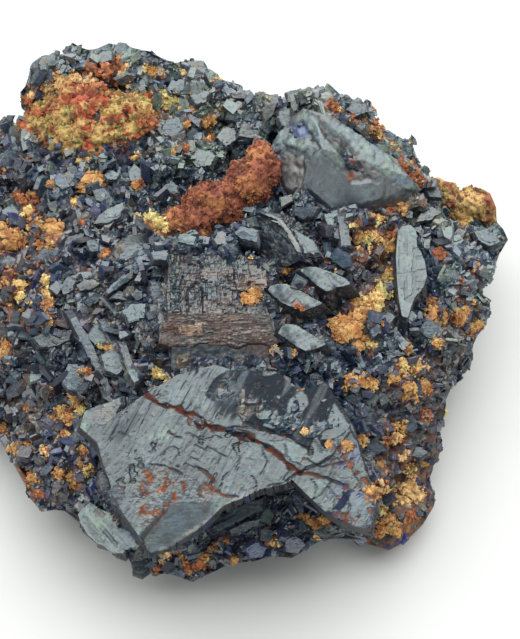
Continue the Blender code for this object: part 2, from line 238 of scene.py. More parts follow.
def distances(tree, points, reach):
    """Distance of each point from the tree's surface, or reach where it is further."""
    found = np.full(len(points), float(reach))
    for i, p in enumerate(points):
        hit = tree.find_nearest(p, reach)
        if hit[3] is not None:
            found[i] = hit[3]
    return found


def tree_from(*objects):
    """All these objects' faces, to be searched by place or by ray."""
    verts, faces = [], []
    for obj in objects:
        offset = len(verts)
        verts += points_of(obj).tolist()
        faces += [[offset + i for i in p.vertices] for p in obj.data.polygons]
    return BVHTree.FromPolygons(verts, faces)


# ---------------------------------------------------------------- outlines on a plane


def closed(outline):
    """Each side of a closed outline, as its two ends."""
    return zip(outline, [*outline[1:], outline[0]])


def polygon_reach(u, v, outline):
    """Distance from a closed outline, negative inside it, and the nearest point on it."""
    best = np.full(len(u), np.inf)
    near_u, near_v = u.copy(), v.copy()
    inside = np.zeros(len(u), bool)
    for (x0, y0), (x1, y1) in closed(outline):
        dx, dy = x1 - x0, y1 - y0
        t = np.clip(((u - x0) * dx + (v - y0) * dy) / (dx * dx + dy * dy), 0, 1)
        qu, qv = x0 + t * dx, y0 + t * dy
        away = np.hypot(u - qu, v - qv)
        closer = away < best
        best = np.where(closer, away, best)
        near_u, near_v = np.where(closer, qu, near_u), np.where(closer, qv, near_v)
        if dy:
            inside ^= ((y0 > v) != (y1 > v)) & (u < dx * (v - y0) / dy + x0)
    return np.where(inside, -best, best), near_u, near_v


def line_reach(u, v, line):
    """Distance from an open line."""
    best = np.full(len(u), np.inf)
    for (x0, y0), (x1, y1) in zip(line, line[1:]):
        dx, dy = x1 - x0, y1 - y0
        t = np.clip(((u - x0) * dx + (v - y0) * dy) / (dx * dx + dy * dy), 0, 1)
        best = np.minimum(best, np.hypot(u - x0 - t * dx, v - y0 - t * dy))
    return best


def within(px, py, outline, soft=1.5):
    """1 inside an outline and 0 outside it, with a soft edge."""
    return smoothstep(soft, -soft, polygon_reach(px, py, outline)[0])


def near_spot(px, py, x, y, radius):
    return np.exp(-(((px - x) ** 2 + (py - y) ** 2) / radius**2))


def toward(value, target, share):
    return value * (1 - share) + target * share


def facing_way(azimuth, tilt):
    a, t = math.radians(azimuth), math.radians(tilt)
    return np.array([math.sin(t) * math.cos(a), math.sin(t) * math.sin(a), math.cos(t)])


def turn_to(azimuth, tilt):
    return np.array(Vector((0, 0, 1)).rotation_difference(Vector(facing_way(azimuth, tilt))).to_matrix())


def to_pixels(points):
    """Where points show in the picture's frame."""
    rel = points - EYE
    depth = -(rel @ TO_CAMERA)
    px = MIDDLE_X + rel[:, 0] / depth * CAMERA_DISTANCE / PX
    py = MIDDLE_Y - (rel @ IMAGE_UP) / depth * CAMERA_DISTANCE / PX
    return px, py


def on_plane(px, py, point, normal):
    """Where the ray through a pixel meets a plane."""
    way = ray_through(px, py)
    return EYE + way * ((point - EYE) @ normal) / (way @ normal)


# ---------------------------------------------------------------- materials


class Nodes:
    """A short way to write a material's nodes."""

    def __init__(self, name):
        self.material = bpy.data.materials.new(name)
        self.material.use_nodes = True
        self.tree = self.material.node_tree
        self.shader = self.tree.nodes["Principled BSDF"]
        self.coord = self.tree.nodes.new("ShaderNodeTexCoord").outputs["Object"]

    def put(self, value, socket):
        """Links another node's output to a socket, or sets the socket's own value."""
        if isinstance(value, bpy.types.NodeSocket):
            self.tree.links.new(value, socket)
        elif socket.type == "RGBA":
            socket.default_value = (*value, 1)
        else:
            socket.default_value = value

    def add(self, kind, inputs, output, **settings):
        """A node of this kind with its settings and inputs, as the output that is asked for."""
        node = self.tree.nodes.new("ShaderNode" + kind)
        for name, value in settings.items():
            setattr(node, name, value)
        for name, value in inputs.items():
            self.put(value, node.inputs[name])
        return node.outputs[output]

    def attribute(self, name):
        return self.add("Attribute", {}, "Fac", attribute_name=name)

    def noise(self, size, detail=4, rough=0.55, distort=0.0, stretch=None):
        """Noise, on coordinates turned by stretch[0] degrees about Z and then scaled by stretch[1:]."""
        place = self.coord
        if stretch:
            turn = (0, 0, math.radians(stretch[0]))
            place = self.add("Mapping", {"Rotation": turn, "Scale": stretch[1:], "Vector": place}, "Vector")
        inputs = {"Scale": 1 / (size * MM), "Detail": detail, "Roughness": rough, "Distortion": distort}
        return self.add("TexNoise", {**inputs, "Vector": place}, "Fac")

    def remap(self, value, low, high, to_low=0.0, to_high=1.0):
        inputs = {"Value": value, "From Min": low, "From Max": high, "To Min": to_low, "To Max": to_high}
        return self.add("MapRange", inputs, "Result", interpolation_type="SMOOTHSTEP")

    def math(self, kind, one, two):
        return self.add("Math", {0: one, 1: two}, 0, operation=kind, use_clamp=kind in ("ADD", "SUBTRACT"))

    def plus(self, one, two):
        return self.math("ADD", one, two)

    def times(self, one, two):
        return self.math("MULTIPLY", one, two)

    def most(self, one, two):
        return self.math("MAXIMUM", one, two)

    def blend(self, one, two, shares):
        """The sum of two values, each times its share."""
        return self.plus(self.times(one, shares[0]), self.times(two, shares[1]))

    def mix(self, share, one, two):
        """A colour between two."""
        return self.add("Mix", {"Factor": share, 6: one, 7: two}, 2, data_type="RGBA")

    def bump(self, height, strength, distance):
        return self.add("Bump", {"Strength": strength, "Distance": distance * MM, "Height": height}, "Normal")

    def use(self, **values):
        """Sets the shader's own inputs."""
        for name, value in values.items():
            self.put(value, self.shader.inputs[name.replace("_", " ")])


NAVY = ((0.004, 0.010, 0.026), (0.015, 0.031, 0.045))
SLATE = ((0.007, 0.010, 0.015), (0.020, 0.029, 0.036))
GREY_TEAL = (0.062, 0.096, 0.066)
STEEL = (0.043, 0.067, 0.096)
DUST = (0.42, 0.21, 0.07)
CLEAR_BLUE = (0.012, 0.022, 0.125)
MAUVE_BROWN = (0.068, 0.047, 0.040)
STRATA_BROWN = (0.095, 0.050, 0.034)
PINK_TAN = (0.29, 0.17, 0.11)
OCHRE_FILM = (0.15, 0.095, 0.04)
DEEP_RUST = (0.06, 0.017, 0.009)
RUST = (0.16, 0.052, 0.020)
ORANGE = (0.30, 0.118, 0.034)
YELLOW = (0.39, 0.25, 0.085)
TAN = (0.38, 0.22, 0.085)
OLIVE = (0.22, 0.17, 0.045)
PALE = (0.45, 0.42, 0.16)
PIT_SHADE_BROWN = (0.03, 0.015, 0.009)
LIGHT_YELLOW = (0.58, 0.43, 0.17)
LIGHT_TAN = (0.52, 0.35, 0.16)
LIGHT_RED = (0.34, 0.11, 0.035)
RIDGE_REDS = ((0.10, 0.025, 0.014), (0.20, 0.055, 0.022), (0.26, 0.10, 0.032))
BACK_TANS = ((0.34, 0.235, 0.075), (0.25, 0.15, 0.045), (0.24, 0.05, 0.018), (0.25, 0.235, 0.07))
BASE_PIT_SHADE = (0.012, 0.009, 0.010)
BASE_BROWNS = ((0.055, 0.028, 0.018), (0.16, 0.07, 0.03), (0.02, 0.024, 0.06), (0.26, 0.11, 0.03))
SPECULAR_TINT = (0.90, 1.0, 0.97)


def azurite(name, gloss=0.28, grain_size=0.35, stretch=None, bump=0.5, specks=0.6, index=1.70, dark=SLATE,
            films=(MAUVE_BROWN, MAUVE_BROWN), dusty=0.60):
    """Azurite: black-blue to grey-teal by its tint, clear blue, brown, rusty and matte where painted."""
    n = Nodes(name)
    fine = n.noise(grain_size, 5, 0.65, stretch=stretch)
    broad = n.noise(2.6, 3)
    grain = n.noise(0.13, 3, 0.7)
    matte = n.attribute("matte")
    middle = n.noise(0.8, 4, 0.65)
    wobble = n.blend(fine, broad, (0.45, 0.25))
    wobble = n.plus(wobble, n.times(middle, 0.3))
    pits = n.remap(n.noise(0.55, 5, 0.8, 0.4), 0.59, 0.64)
    light = n.times(n.attribute("tint"), n.remap(wobble, 0.40, 0.60, 0.35, 1.25))
    light = n.times(light, n.remap(pits, 0.0, 1.0, 1.0, 0.35))
    colour = n.mix(n.remap(light, 0.0, 0.5), *dark)
    pale = n.mix(n.remap(n.noise(4.5, 3), 0.38, 0.62), STEEL, GREY_TEAL)
    colour = n.mix(n.remap(light, 0.35, 1.0), colour, pale)
    clear = n.times(n.attribute("blue"), n.remap(fine, 0.35, 0.6, 0.4, 1.0))
    colour = n.mix(clear, colour, CLEAR_BLUE)
    film = n.times(n.attribute("brown"), n.remap(grain, 0.3, 0.65, 0.35, 1.0))
    brown = n.mix(n.remap(n.noise(3.2, 2), 0.44, 0.56), *films)
    brown = n.mix(n.remap(light, 0.55, 1.0), brown, PINK_TAN)
    colour = n.mix(film, colour, brown)
    blotch = n.blend(n.attribute("rust"), grain, (0.75, 0.35))
    dust = n.remap(n.noise(0.45, 5, 0.72, 0.3), dusty, dusty + 0.1, 0, specks)
    stain = n.most(n.remap(blotch, 0.42, 0.8), dust)
    rusty = n.mix(n.remap(n.noise(0.6, 3), 0.35, 0.65), DEEP_RUST, n.mix(n.remap(dust, 0, 0.5), RUST, DUST))
    rusty = n.mix(n.remap(light, 0.05, 0.25), DEEP_RUST, rusty)
    colour = n.mix(stain, colour, rusty)
    rough = n.remap(fine, 0.3, 0.75, gloss, gloss + 0.2)
    dull = n.most(n.times(stain, 0.85), n.times(film, 0.6))
    dull = n.most(dull, n.times(matte, 0.75))
    n.use(Base_Color=colour, Roughness=n.most(rough, dull), IOR=index, Specular_Tint=SPECULAR_TINT)
    n.use(Specular_IOR_Level=n.remap(matte, 0.0, 1.0, 0.5, 0.08))
    height = n.blend(fine, middle, (0.5, 0.5))
    height = n.math("SUBTRACT", height, n.times(pits, 0.25))
    n.use(Normal=n.bump(height, bump, 0.12))
    return n.material


def earth(name, low, middle, high, spots=None, more=None, size=1.8):
    """Limonite: earthy and granular, from a dark colour painted as shade in the pits to a light one on the
    grains.
    """
    n = Nodes(name)
    depth = n.attribute("tint")
    broad = n.noise(size, 4, 0.6)
    fine = n.noise(0.32, 5, 0.7)
    mixed = n.blend(broad, fine, (0.6, 0.4))
    colour = n.mix(n.remap(mixed, 0.4, 0.6), middle, high)
    if spots:
        colour = n.mix(n.remap(n.noise(2.4, 3, 0.6, 0.6), 0.50, 0.60), colour, spots)
    if more:
        colour = n.mix(n.remap(n.noise(1.9, 3, 0.6, 0.2), 0.56, 0.64), colour, more)
        colour = n.mix(n.attribute("rust"), colour, spots)
    # The low colour goes where the tint is low: painted shade in pits and hollows, random darker grains among
    # the loose ones.
    lit = n.blend(depth, fine, (0.7, 0.4))
    colour = n.mix(n.remap(lit, 0.2, 0.55, 1.0, 0.0), colour, low)
    n.use(Base_Color=colour, Roughness=n.remap(fine, 0.3, 0.7, 0.7, 0.98), Normal=n.bump(fine, 0.9, 0.14))
    return n.material


SMALL_FILMS = {"dark": NAVY, "films": (MAUVE_BROWN, OCHRE_FILM)}
small_finish = azurite("azurite_small", 0.2, 0.4, (-62, 0.3, 1, 1), 0.7, 0.8, dusty=0.56, **SMALL_FILMS)
plate_finish = azurite("azurite_plates", 0.22, 0.5, (-52, 0.14, 1, 1), 1.1, 0.8, dusty=0.58, **SMALL_FILMS)
large_finish = azurite("azurite_large", 0.3, 0.3, bump=0.8, index=1.76, films=(STRATA_BROWN, MAUVE_BROWN))
slab_finish = azurite("azurite_slab", gloss=0.3, stretch=(-62, 0.25, 1, 1))
# Each earth's first colour is the one painted as shade in its pits.
EARTHS = {
    "O": earth("limonite_orange", RUST, ORANGE, YELLOW),
    "Y": earth("limonite_yellow", RUST, YELLOW, LIGHT_YELLOW, PALE),
    "T": earth("limonite_tan", DEEP_RUST, TAN, LIGHT_TAN),
    "R": earth("limonite_red", PIT_SHADE_BROWN, RUST, LIGHT_RED),
}
red_earth = earth("ridge_red", PIT_SHADE_BROWN, *RIDGE_REDS, size=1.4)
tan_earth = earth("back_tan", PIT_SHADE_BROWN, *BACK_TANS, size=1.6)
rim_earth = earth("rim_olive", PIT_SHADE_BROWN, OLIVE, TAN, RUST, size=2.0)
brown_earth = earth("matrix_brown", BASE_PIT_SHADE, *BASE_BROWNS, size=2.2)


def dress(obj, finish, replaces=()):
    """Gives an object its material and the CAD nodes it stands for."""
    obj.data.materials.clear()
    obj.data.materials.append(finish)
    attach(obj, "root")
    if replaces:
        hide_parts(*replaces)


PAINTS = ("tint", "rust", "blue", "brown", "matte")


def paint_all(obj, **values):
    """Paints what the azurite materials ask for, 0 where it isn't given."""
    for name in PAINTS:
        paint(obj, name, np.broadcast_to(np.clip(values.get(name, 0), 0, 1), len(obj.data.vertices)))


# ---------------------------------------------------------------- the ground under the small crystals

LARGE = ["slab_crystal", "block_crystal", "stepped_crystal", "pointed_crystal", "wedge_pair", "front_wedge",
         "blade_crystal", "corner_crystal"]
# The whole specimen's outline in pixels, from the left round by the back.
OUTLINE = table("""
-90 122, 0 122, 8 114, 21 114, 21 92, 32 80, 30 68, 39 55, 47 49, 60 48, 72 43, 85 50, 96 50, 111 42,
122 37, 129 47, 150 53, 166 61, 178 62, 189 58, 204 58, 208 68, 222 80, 239 85, 260 93, 282 96, 300 90,
323 83, 344 86, 365 98, 386 112, 394 122, 412 135, 422 146, 420 160, 438 174, 442 181, 475 185, 490 193,
496 208, 491 216, 503 229, 508 240, 496 258, 494 279, 489 295, 490 320, 472 342, 473 362, 464 378, 445 391,
447 420, 443 446, 444 472, 439 498, 423 524, 407 540, 389 550, 365 543, 355 535, 334 533, 313 545, 292 558,
271 556, 256 561, 230 564, 209 574, 193 582, 172 574, 146 574, 133 561, 104 549, 83 533, 77 514, 57 509,
42 512, 26 494, 26 470, 10 462, 0 452, -90 452""")

# Left of the first pixel and above the second, its ground and its crystals run out of the picture.
RUN_OUT = (3, 440)
CRYSTALS_RUN_OUT = (5, 446)


def kept_in(points, outline, most=2.2):
    """Moves what stands out of an outline back to it, across the picture, by up to most millimetres."""
    px, py = to_pixels(points)
    away, near_x, near_y = polygon_reach(px, py, outline)
    out = (away > 0) & ((px > RUN_OUT[0]) | (py > RUN_OUT[1]))
    short = np.where(out, np.minimum(1, most / (PX * np.maximum(away, 1e-6))), 0)
    across, up = (near_x - px) * PX * short, (py - near_y) * PX * short
    return points + across[:, None] * RIGHT + up[:, None] * IMAGE_UP


# Where brown earth fills the gaps, in pixels.
WARM = [
    table("372 384, 412 358, 446 395, 447 440, 440 500, 400 545, 372 520, 384 470, 374 430"),
    table("440 305, 490 300, 480 340, 472 372, 445 390, 425 350"),
    table("340 215, 395 210, 398 330, 345 340, 330 310, 360 262"),
    table("0 165, 30 165, 48 225, 20 330, 0 340"),
]
# The far slope, where the crystals mirror the light behind and are also painted lighter: a painted
# reflection.
FAR_SLOPE = table("""
128 46, 166 62, 204 58, 240 86, 300 88, 345 88, 395 125, 440 176, 418 178, 372 140, 335 116, 300 104,
270 128, 262 146, 200 172, 160 172, 164 118, 140 82, 120 60, 60 58, 60 44""")
# The right shoulder, where the crystals are pale.
PALE_CRYSTALS = table("395 207, 440 190, 500 212, 508 245, 495 300, 478 345, 430 345, 440 272, 420 228")


def warmth(px, py):
    """How much brown earth there is among the crystals."""
    return np.max([within(px, py, zone, 14) for zone in WARM], 0)


PATCHES = ["limonite_back", "limonite_ridge", "limonite_rim"]
GROUND_VOXEL = 0.78

# Where limonite shows: pixel x and y, radius in pixels, and kind.
LUMPS = """
104 70 9 R, 117 66 8 R, 90 70 8 R, 126 72 7 T, 74 78 8 T, 58 80 7 T, 82 82 9 T, 112 78 9 R, 98 86 9 R,
128 84 6 T, 389 276 6 Y, 386 284 8 Y, 381 292 9 Y, 373 300 9 Y, 365 307 9 O, 357 313 8 O, 349 326 9 O,
357 331 7 O, 345 333 8 O, 48 86 7 T, 32 92 7 T, 28 102 7 R, 36 112 6 R, 152 70 5 O, 148 66 4 Y,
163 102 7 Y, 172 106 6 Y, 150 122 7 R, 8 232 9 O, 14 242 10 O, 5 250 6 O, 40 226 9 O, 52 232 10 O,
48 244 8 O, 30 212 6 Y, 22 200 8 R, 35 200 7 R, 50 184 6 O, 68 170 5 O, 82 162 5 Y, 86 187 6 O, 98 182 8 O,
75 202 5 Y, 82 221 4 R, 139 182 6 O, 137 158 4 Y, 105 255 4 R, 18 288 6 Y, 20 297 5 Y, 45 280 6 Y,
46 292 5 Y, 46 303 5 O, 48 318 6 O, 46 324 5 O, 58 322 4 T, 3 352 9 O, 8 345 5 O, 6 285 5 O, 141 219 5 Y,
150 222 7 Y, 160 224 7 Y, 155 228 6 O, 166 227 4 Y, 102 345 4 Y, 108 347 4 O, 85 372 4 R, 75 395 7 O,
80 402 5 O, 60 412 6 O, 70 416 5 O, 50 421 6 O, 28 405 4 O, 66 436 5 O, 5 430 5 O, 20 450 7 O, 28 446 5 O,
80 410 5 Y, 85 452 5 O, 82 462 4 O, 45 452 5 T, 27 480 6 O, 35 478 5 O, 58 472 6 O, 76 482 7 O, 72 476 5 O,
88 472 4 Y, 86 497 5 R, 40 495 5 R, 90 465 4 Y, 155 566 5 R, 178 558 6 O, 188 568 5 R, 166 556 5 T,
200 563 5 R, 205 555 5 O, 215 548 5 O, 232 560 5 O, 225 540 5 O, 272 543 5 Y, 355 306 5 O, 362 303 6 Y,
371 304 7 Y, 378 297 6 Y, 384 289 5 Y, 389 280 5 O, 390 271 4 O, 335 325 5 O, 344 330 8 O, 350 325 5 Y,
340 336 5 O, 355 322 4 O, 365 340 5 O, 371 343 4 Y, 358 347 5 O, 360 237 5 O, 370 235 6 Y, 378 238 5 O,
384 242 5 Y, 362 245 5 Y, 378 254 5 O, 390 247 5 O, 392 233 5 R, 355 225 4 Y, 375 222 4 Y, 381 218 4 Y,
404 207 5 O, 390 208 4 R, 462 223 5 O, 468 220 4 Y, 436 252 5 R, 440 256 4 R, 435 312 6 O, 442 318 5 O,
432 300 4 O, 458 316 7 O, 462 312 6 O, 470 330 6 O, 478 326 5 O, 453 345 4 O, 437 343 4 O, 406 345 5 O,
402 366 6 Y, 412 369 6 Y, 418 366 5 O, 350 378 5 O, 358 382 6 O, 365 378 5 O, 345 386 5 O, 371 386 5 O,
410 391 6 O, 404 395 5 O, 425 388 7 O, 395 380 5 O, 352 396 5 T, 411 401 5 O, 424 416 5 R, 441 418 5 Y,
442 411 4 Y, 392 425 5 T, 398 436 7 T, 402 428 6 O, 390 440 5 O, 361 439 5 O, 347 446 4 O, 380 463 5 T,
404 456 6 T, 408 466 5 Y, 413 474 5 T, 421 462 5 O, 375 492 7 O, 382 486 5 T, 389 500 6 Y, 400 490 7 T,
410 488 8 O, 418 496 7 T, 405 502 7 T, 385 509 5 Y, 385 525 7 O, 393 522 6 O, 395 531 5 O, 379 531 5 O,
412 513 5 R, 310 523 5 O, 303 518 4 O, 321 526 6 O, 326 521 5 O, 316 534 4 T, 375 122 5 O, 360 120 5 O,
368 128 5 O, 378 132 5 O, 384 139 5 O, 390 147 4 O, 352 118 4 R, 403 168 6 R, 412 174 6 R, 421 181 6 R,
428 186 5 R, 405 162 4 T, 330 103 5 R, 336 110 4 R, 162 74 5 O, 178 104 5 Y, 165 104 5 Y, 191 110 5 O,
205 122 6 O, 216 114 5 O, 208 136 6 O, 184 122 4 O, 171 152 4 O, 183 147 5 R, 217 84 4 Y, 183 70 4 Y,
154 73 4 O, 160 375 5 Y, 166 377 4 Y, 155 377 3 Y, 296 305 2 R, 301 309 2 R, 255 296 6 O, 248 299 5 O,
285 268 5 O, 292 352 4 T, 275 350 4 T, 306 431 3 T, 328 444 3 O, 350 445 3 O
"""
lumps = [(float(x), float(y), float(radius), kind) for x, y, radius, kind in map(str.split, LUMPS.split(","))]


def rust_field(points):
    """How rusty the crust is, from 0 to 1."""
    px, py = to_pixels(points)
    field = 0.18 + 0.4 * soft_noise(points, 7.0, 5) + 0.4 * soft_noise(points, 2.2, 6)
    for x, y, radius, _ in lumps:
        field = np.maximum(field, near_spot(px, py, x, y, radius * 1.5))
    field = field + 0.16 * warmth(px, py) + 0.14 * within(px, py, FAR_SLOPE, 10)
    behind = smoothstep(16, 24, points[:, 1] + 0.3 * points[:, 0])
    low = smoothstep(11, 4, points[:, 2])
    field = np.maximum(field, low * (0.6 + 0.5 * soft_noise(points, 3.0, 8)))
    return np.clip(field + behind * 0.3 * soft_noise(points, 4.0, 9), 0, 1)


# ---------------------------------------------------------------- crystals with one broad face, worked finely


def on_face(u, v):
    return np.stack([u, v, 0 * u], 1)


def whole(values):
    return np.floor(values).astype(np.int64)


def face_grid(outline, step, turn):
    """Points of a square grid inside an outline, the last ones moved onto it, and the quads between them."""
    reach = max(math.hypot(x, y) for x, y in outline) + 1
    line = np.arange(-reach, reach, step)
    gu, gv = (g.ravel() for g in np.meshgrid(line, line, indexing="ij"))
    c, s = math.cos(math.radians(turn)), math.sin(math.radians(turn))
    u, v = c * gu - s * gv, s * gu + c * gv
    away, near_u, near_v = polygon_reach(u, v, outline)
    keep = away < 0.5 * step
    edge = keep & (np.abs(away) < 0.72 * step)
    u, v = np.where(edge, near_u, u), np.where(edge, near_v, v)
    index = np.full(len(u), -1)
    index[keep] = np.arange(keep.sum())
    grid = index.reshape(len(line), len(line))
    quads = np.stack([grid[:-1, :-1], grid[1:, :-1], grid[1:, 1:], grid[:-1, 1:]], -1).reshape(-1, 4)
    return u[keep], v[keep], quads[(quads >= 0).all(1)]


def open_edges(quads):
    """The sides that only one quad has, as pairs of points."""
    ways = np.concatenate([quads[:, [i, (i + 1) % 4]] for i in range(4)])
    size = quads.max() + 1
    return ways[~np.isin(ways[:, 0] * size + ways[:, 1], ways[:, 1] * size + ways[:, 0])]


def loops_of(edges):
    """The closed loops that these edges make."""
    following, loops = dict(edges.tolist()), []
    while following:
        at, loop = next(iter(following)), []
        while at in following:
            loop.append(at)
            at = following.pop(at)
        if len(loop) > 2:
            loops.append(np.array(loop[::-1]))
    return loops


def relief(name, node, centre, facing, outline, depth, widen, step, turn, surface, finish, side, dull=0.4):
    """A crystal whose broad face is a fine height field: surface takes u, v and the pixel, and gives heights
    and paints. The walls lean out to the foot, depth under the face, and are rough by side."""
    centre = np.array(centre) + SHIFT
    basis = turn_to(*facing)
    u, v, quads = face_grid(outline, step, turn)
    height, paints = surface(u, v, *to_pixels(on_face(u, v) @ basis.T + centre))
    rim = open_edges(quads)
    rim_points = np.unique(rim)
    rim_index = np.full(len(u), -1)
    rim_index[rim_points] = np.arange(len(rim_points))

    middle = np.array([u.mean(), v.mean()])
    flat = np.stack([u, v], 1)
    levels = max(3, int(depth / (1.6 * step)))
    rings = []
    for level in range(1, levels + 1):
        f = level / levels
        spot = middle + (flat[rim_points] - middle) * (1 + (widen - 1) * f)
        z = height[rim_points] * (1 - f) - depth * f
        rough = side * min(1, 3 * f) * fractal(np.column_stack([spot, z]), 0.9, 4, len(name), 0.6)
        out = spot - middle
        out /= np.linalg.norm(out, axis=1, keepdims=True)
        rings.append(np.column_stack([spot + out * rough[:, None], z]))

    def ring_ids(level, ids):
        return ids if level == 0 else len(u) + len(rim_points) * (level - 1) + rim_index[ids]

    faces = [quads]
    for level in range(levels):
        upper, lower = ring_ids(level, rim), ring_ids(level + 1, rim)
        faces.append(np.column_stack([upper[:, 1], upper[:, 0], lower[:, 0], lower[:, 1]]))
    faces = np.concatenate(faces)
    foot = [ring_ids(levels, loop) for loop in loops_of(rim)]
    walls = np.concatenate(rings)
    verts = np.concatenate([np.column_stack([u, v, height]), walls])
    sizes = np.concatenate([np.full(len(faces), 4), [len(loop) for loop in foot]]).astype(int)
    made = mesh_from(name, verts @ basis.T + centre, np.concatenate([faces.ravel(), *foot]), sizes)
    wall_paints = {
        "tint": 0.12 + 0.25 * soft_noise(walls, 0.6, 3),
        "rust": 0.05 + 0.5 * soft_noise(walls, 1.3, 5),
        "blue": 0.5 * smoothstep(0.3, 0.7, soft_noise(walls, 1.7, 6)),
        "brown": 0.1 + 0.3 * soft_noise(walls, 1.0, 4),
        "matte": np.full(len(walls), dull),
    }
    top = {key: np.broadcast_to(value, len(u)) for key, value in paints.items()}
    paint_all(made, **{key: np.concatenate([top[key], wall_paints[key]]) for key in PAINTS})
    dress(made, finish, [node] if node else ())
    return made


# ---- the slab

SLAB_OUTLINE = table("""
-18.1 1.7, -17.4 -0.7, -16.1 -4.6, -14.7 -7.5, -13 -9.9, -11 -12.6, -8.8 -12.1, -4.5 -9.5, -1.3 -6.6,
1.3 -5.6, 3.5 -4.5, 6.2 -4, 7.5 -3.3, 9.8 -5.6, 11.8 -7.5, 14 -8.9, 17.6 -9.9, 18.3 -6, 17.2 -2, 15.4 4,
11.9 9.8, 8.8 8.6, 5.3 11.2, -0.4 11.4, -2.7 12.1, -7.7 10.7, -12.3 7.9, -15.6 5.5, -17.8 6.8, -19.8 5.8,
-20.4 3.7""")
SLAB_BEVEL = (-6.2, 20)  # where the lower end is cut off, and at what angle
UPPER_SHEET = table("""
139 386, 148 397, 160 404, 175 407, 188 414, 205 424, 215 428, 228 431, 240 434, 262 443, 275 452, 300 472,
318 464, 331 457, 352 430, 345 395, 300 362, 220 355, 165 365""")
# Cracks: half width in pixels, depth and rust, then the pixels they run through.
SLAB_CRACKS = outlined("""
1.2 0.35 0.1: 328 488, 336 499, 333 513
1.3 0.35 0.1: 343 493, 350 506, 346 519
0.9 0.3 0.2: 312 479, 317 490, 314 498
1.1 0.3 0.7: 303 458, 322 467, 346 461
0.9 0.3 0.1: 351 468, 360 484, 358 497
1 0.3 0.1: 282 455, 290 470, 284 480
0.9 0.3 0.1: 262 448, 268 462, 262 474
0.8 0.25 0: 232 445, 240 458, 236 470
0.8 0.25 0: 128 420, 126 408, 132 398
0.8 0.25 0: 110 440, 118 425, 122 410
3.2 0.45 1: 139 386, 148 397, 160 404, 175 407, 188 414
6.8 0.8 1: 188 414, 198 421, 205 424, 215 428, 228 430, 240 434, 252 440
3.8 0.6 1: 240 434, 252 440, 262 443, 275 452, 285 462, 300 472
1.6 0.4 0.6: 228 428, 240 427, 262 430, 275 432, 290 437, 302 446, 310 452
1.6 0.5 0.3: 262 490, 273 485, 285 482, 300 472, 318 464, 331 457
1.4 0.4 0.9: 300 472, 320 476, 335 482, 347 486
1 0.35 0.5: 240 419, 252 424, 268 430, 280 434
0.9 0.3 0.9: 168 432, 175 437, 181 436
0.8 0.3 0.1: 120 433, 128 437
0.8 0.3 0.1: 187 433, 193 435, 203 440, 214 436, 222 439
0.8 0.3 0: 160 455, 172 447, 178 450, 180 456
0.8 0.3 0: 190 457, 200 462
0.8 0.3 0: 208 448, 217 452, 226 457
0.7 0.3 0: 195 445, 202 449, 210 451
2.2 0.4 0.75: 150 464, 165 466, 172 470, 181 474
2 0.35 0.8: 200 469, 207 473, 213 480
1.2 0.4 0.2: 209 486, 213 478, 216 474
1.2 0.35 0.2: 219 490, 224 478, 229 473
1 0.3 0: 150 452, 155 446, 157 440
1 0.35 0: 254 495, 256 482, 252 476
1.2 0.35 0.7: 216 490, 224 496, 238 497
0.9 0.3 0.4: 312 499, 322 494, 330 484
1 0.3 0.3: 285 445, 287 455, 292 462, 300 464
0.9 0.3 0.3: 309 436, 318 446, 321 453""")
# Pits: pixel x and y, radii in pixels, depth and rust.
SLAB_PITS = table("""
133 470 3.5 14 0.6 0.1, 140 462 3 7 0.5 0, 154 447 2.5 4 0.4 0, 201 439 3.5 4 0.5 0.3,
196 421 7 4.5 0.45 1, 210 428 6 4 0.4 0.9, 229 432 5 5 0.4 0.5, 243 437 5 6 0.45 1, 236 448 2.5 5 0.4 0.2,
192 467 10 3 0.35 0.35, 121 483 3 5 0.4 0.7, 218 417 3 3 0.3 0.3, 158 397 4 2 0.3 0.8,
223 385 6 2.5 0.25 0.9, 311 452 3 5 0.5 0.2, 326 443 4 3 0.5 0.3, 286 430 7 5 0.5 0.1, 337 463 5 4 0.3 0.8,
300 415 3 5 0.2 0.9""")
# Darker parts of the slab, painted shade where its faces turn from the light: softness in pixels and how
# dull, then the outline.
SLAB_SHADES = outlined("""
8 0.5: 95 395, 140 388, 165 410, 130 450, 90 430
8 0.85: 212 388, 236 370, 265 372, 268 436, 236 426, 214 412
6 0.4: 262 431, 312 452, 340 440, 352 470, 330 480, 300 470, 280 455""")
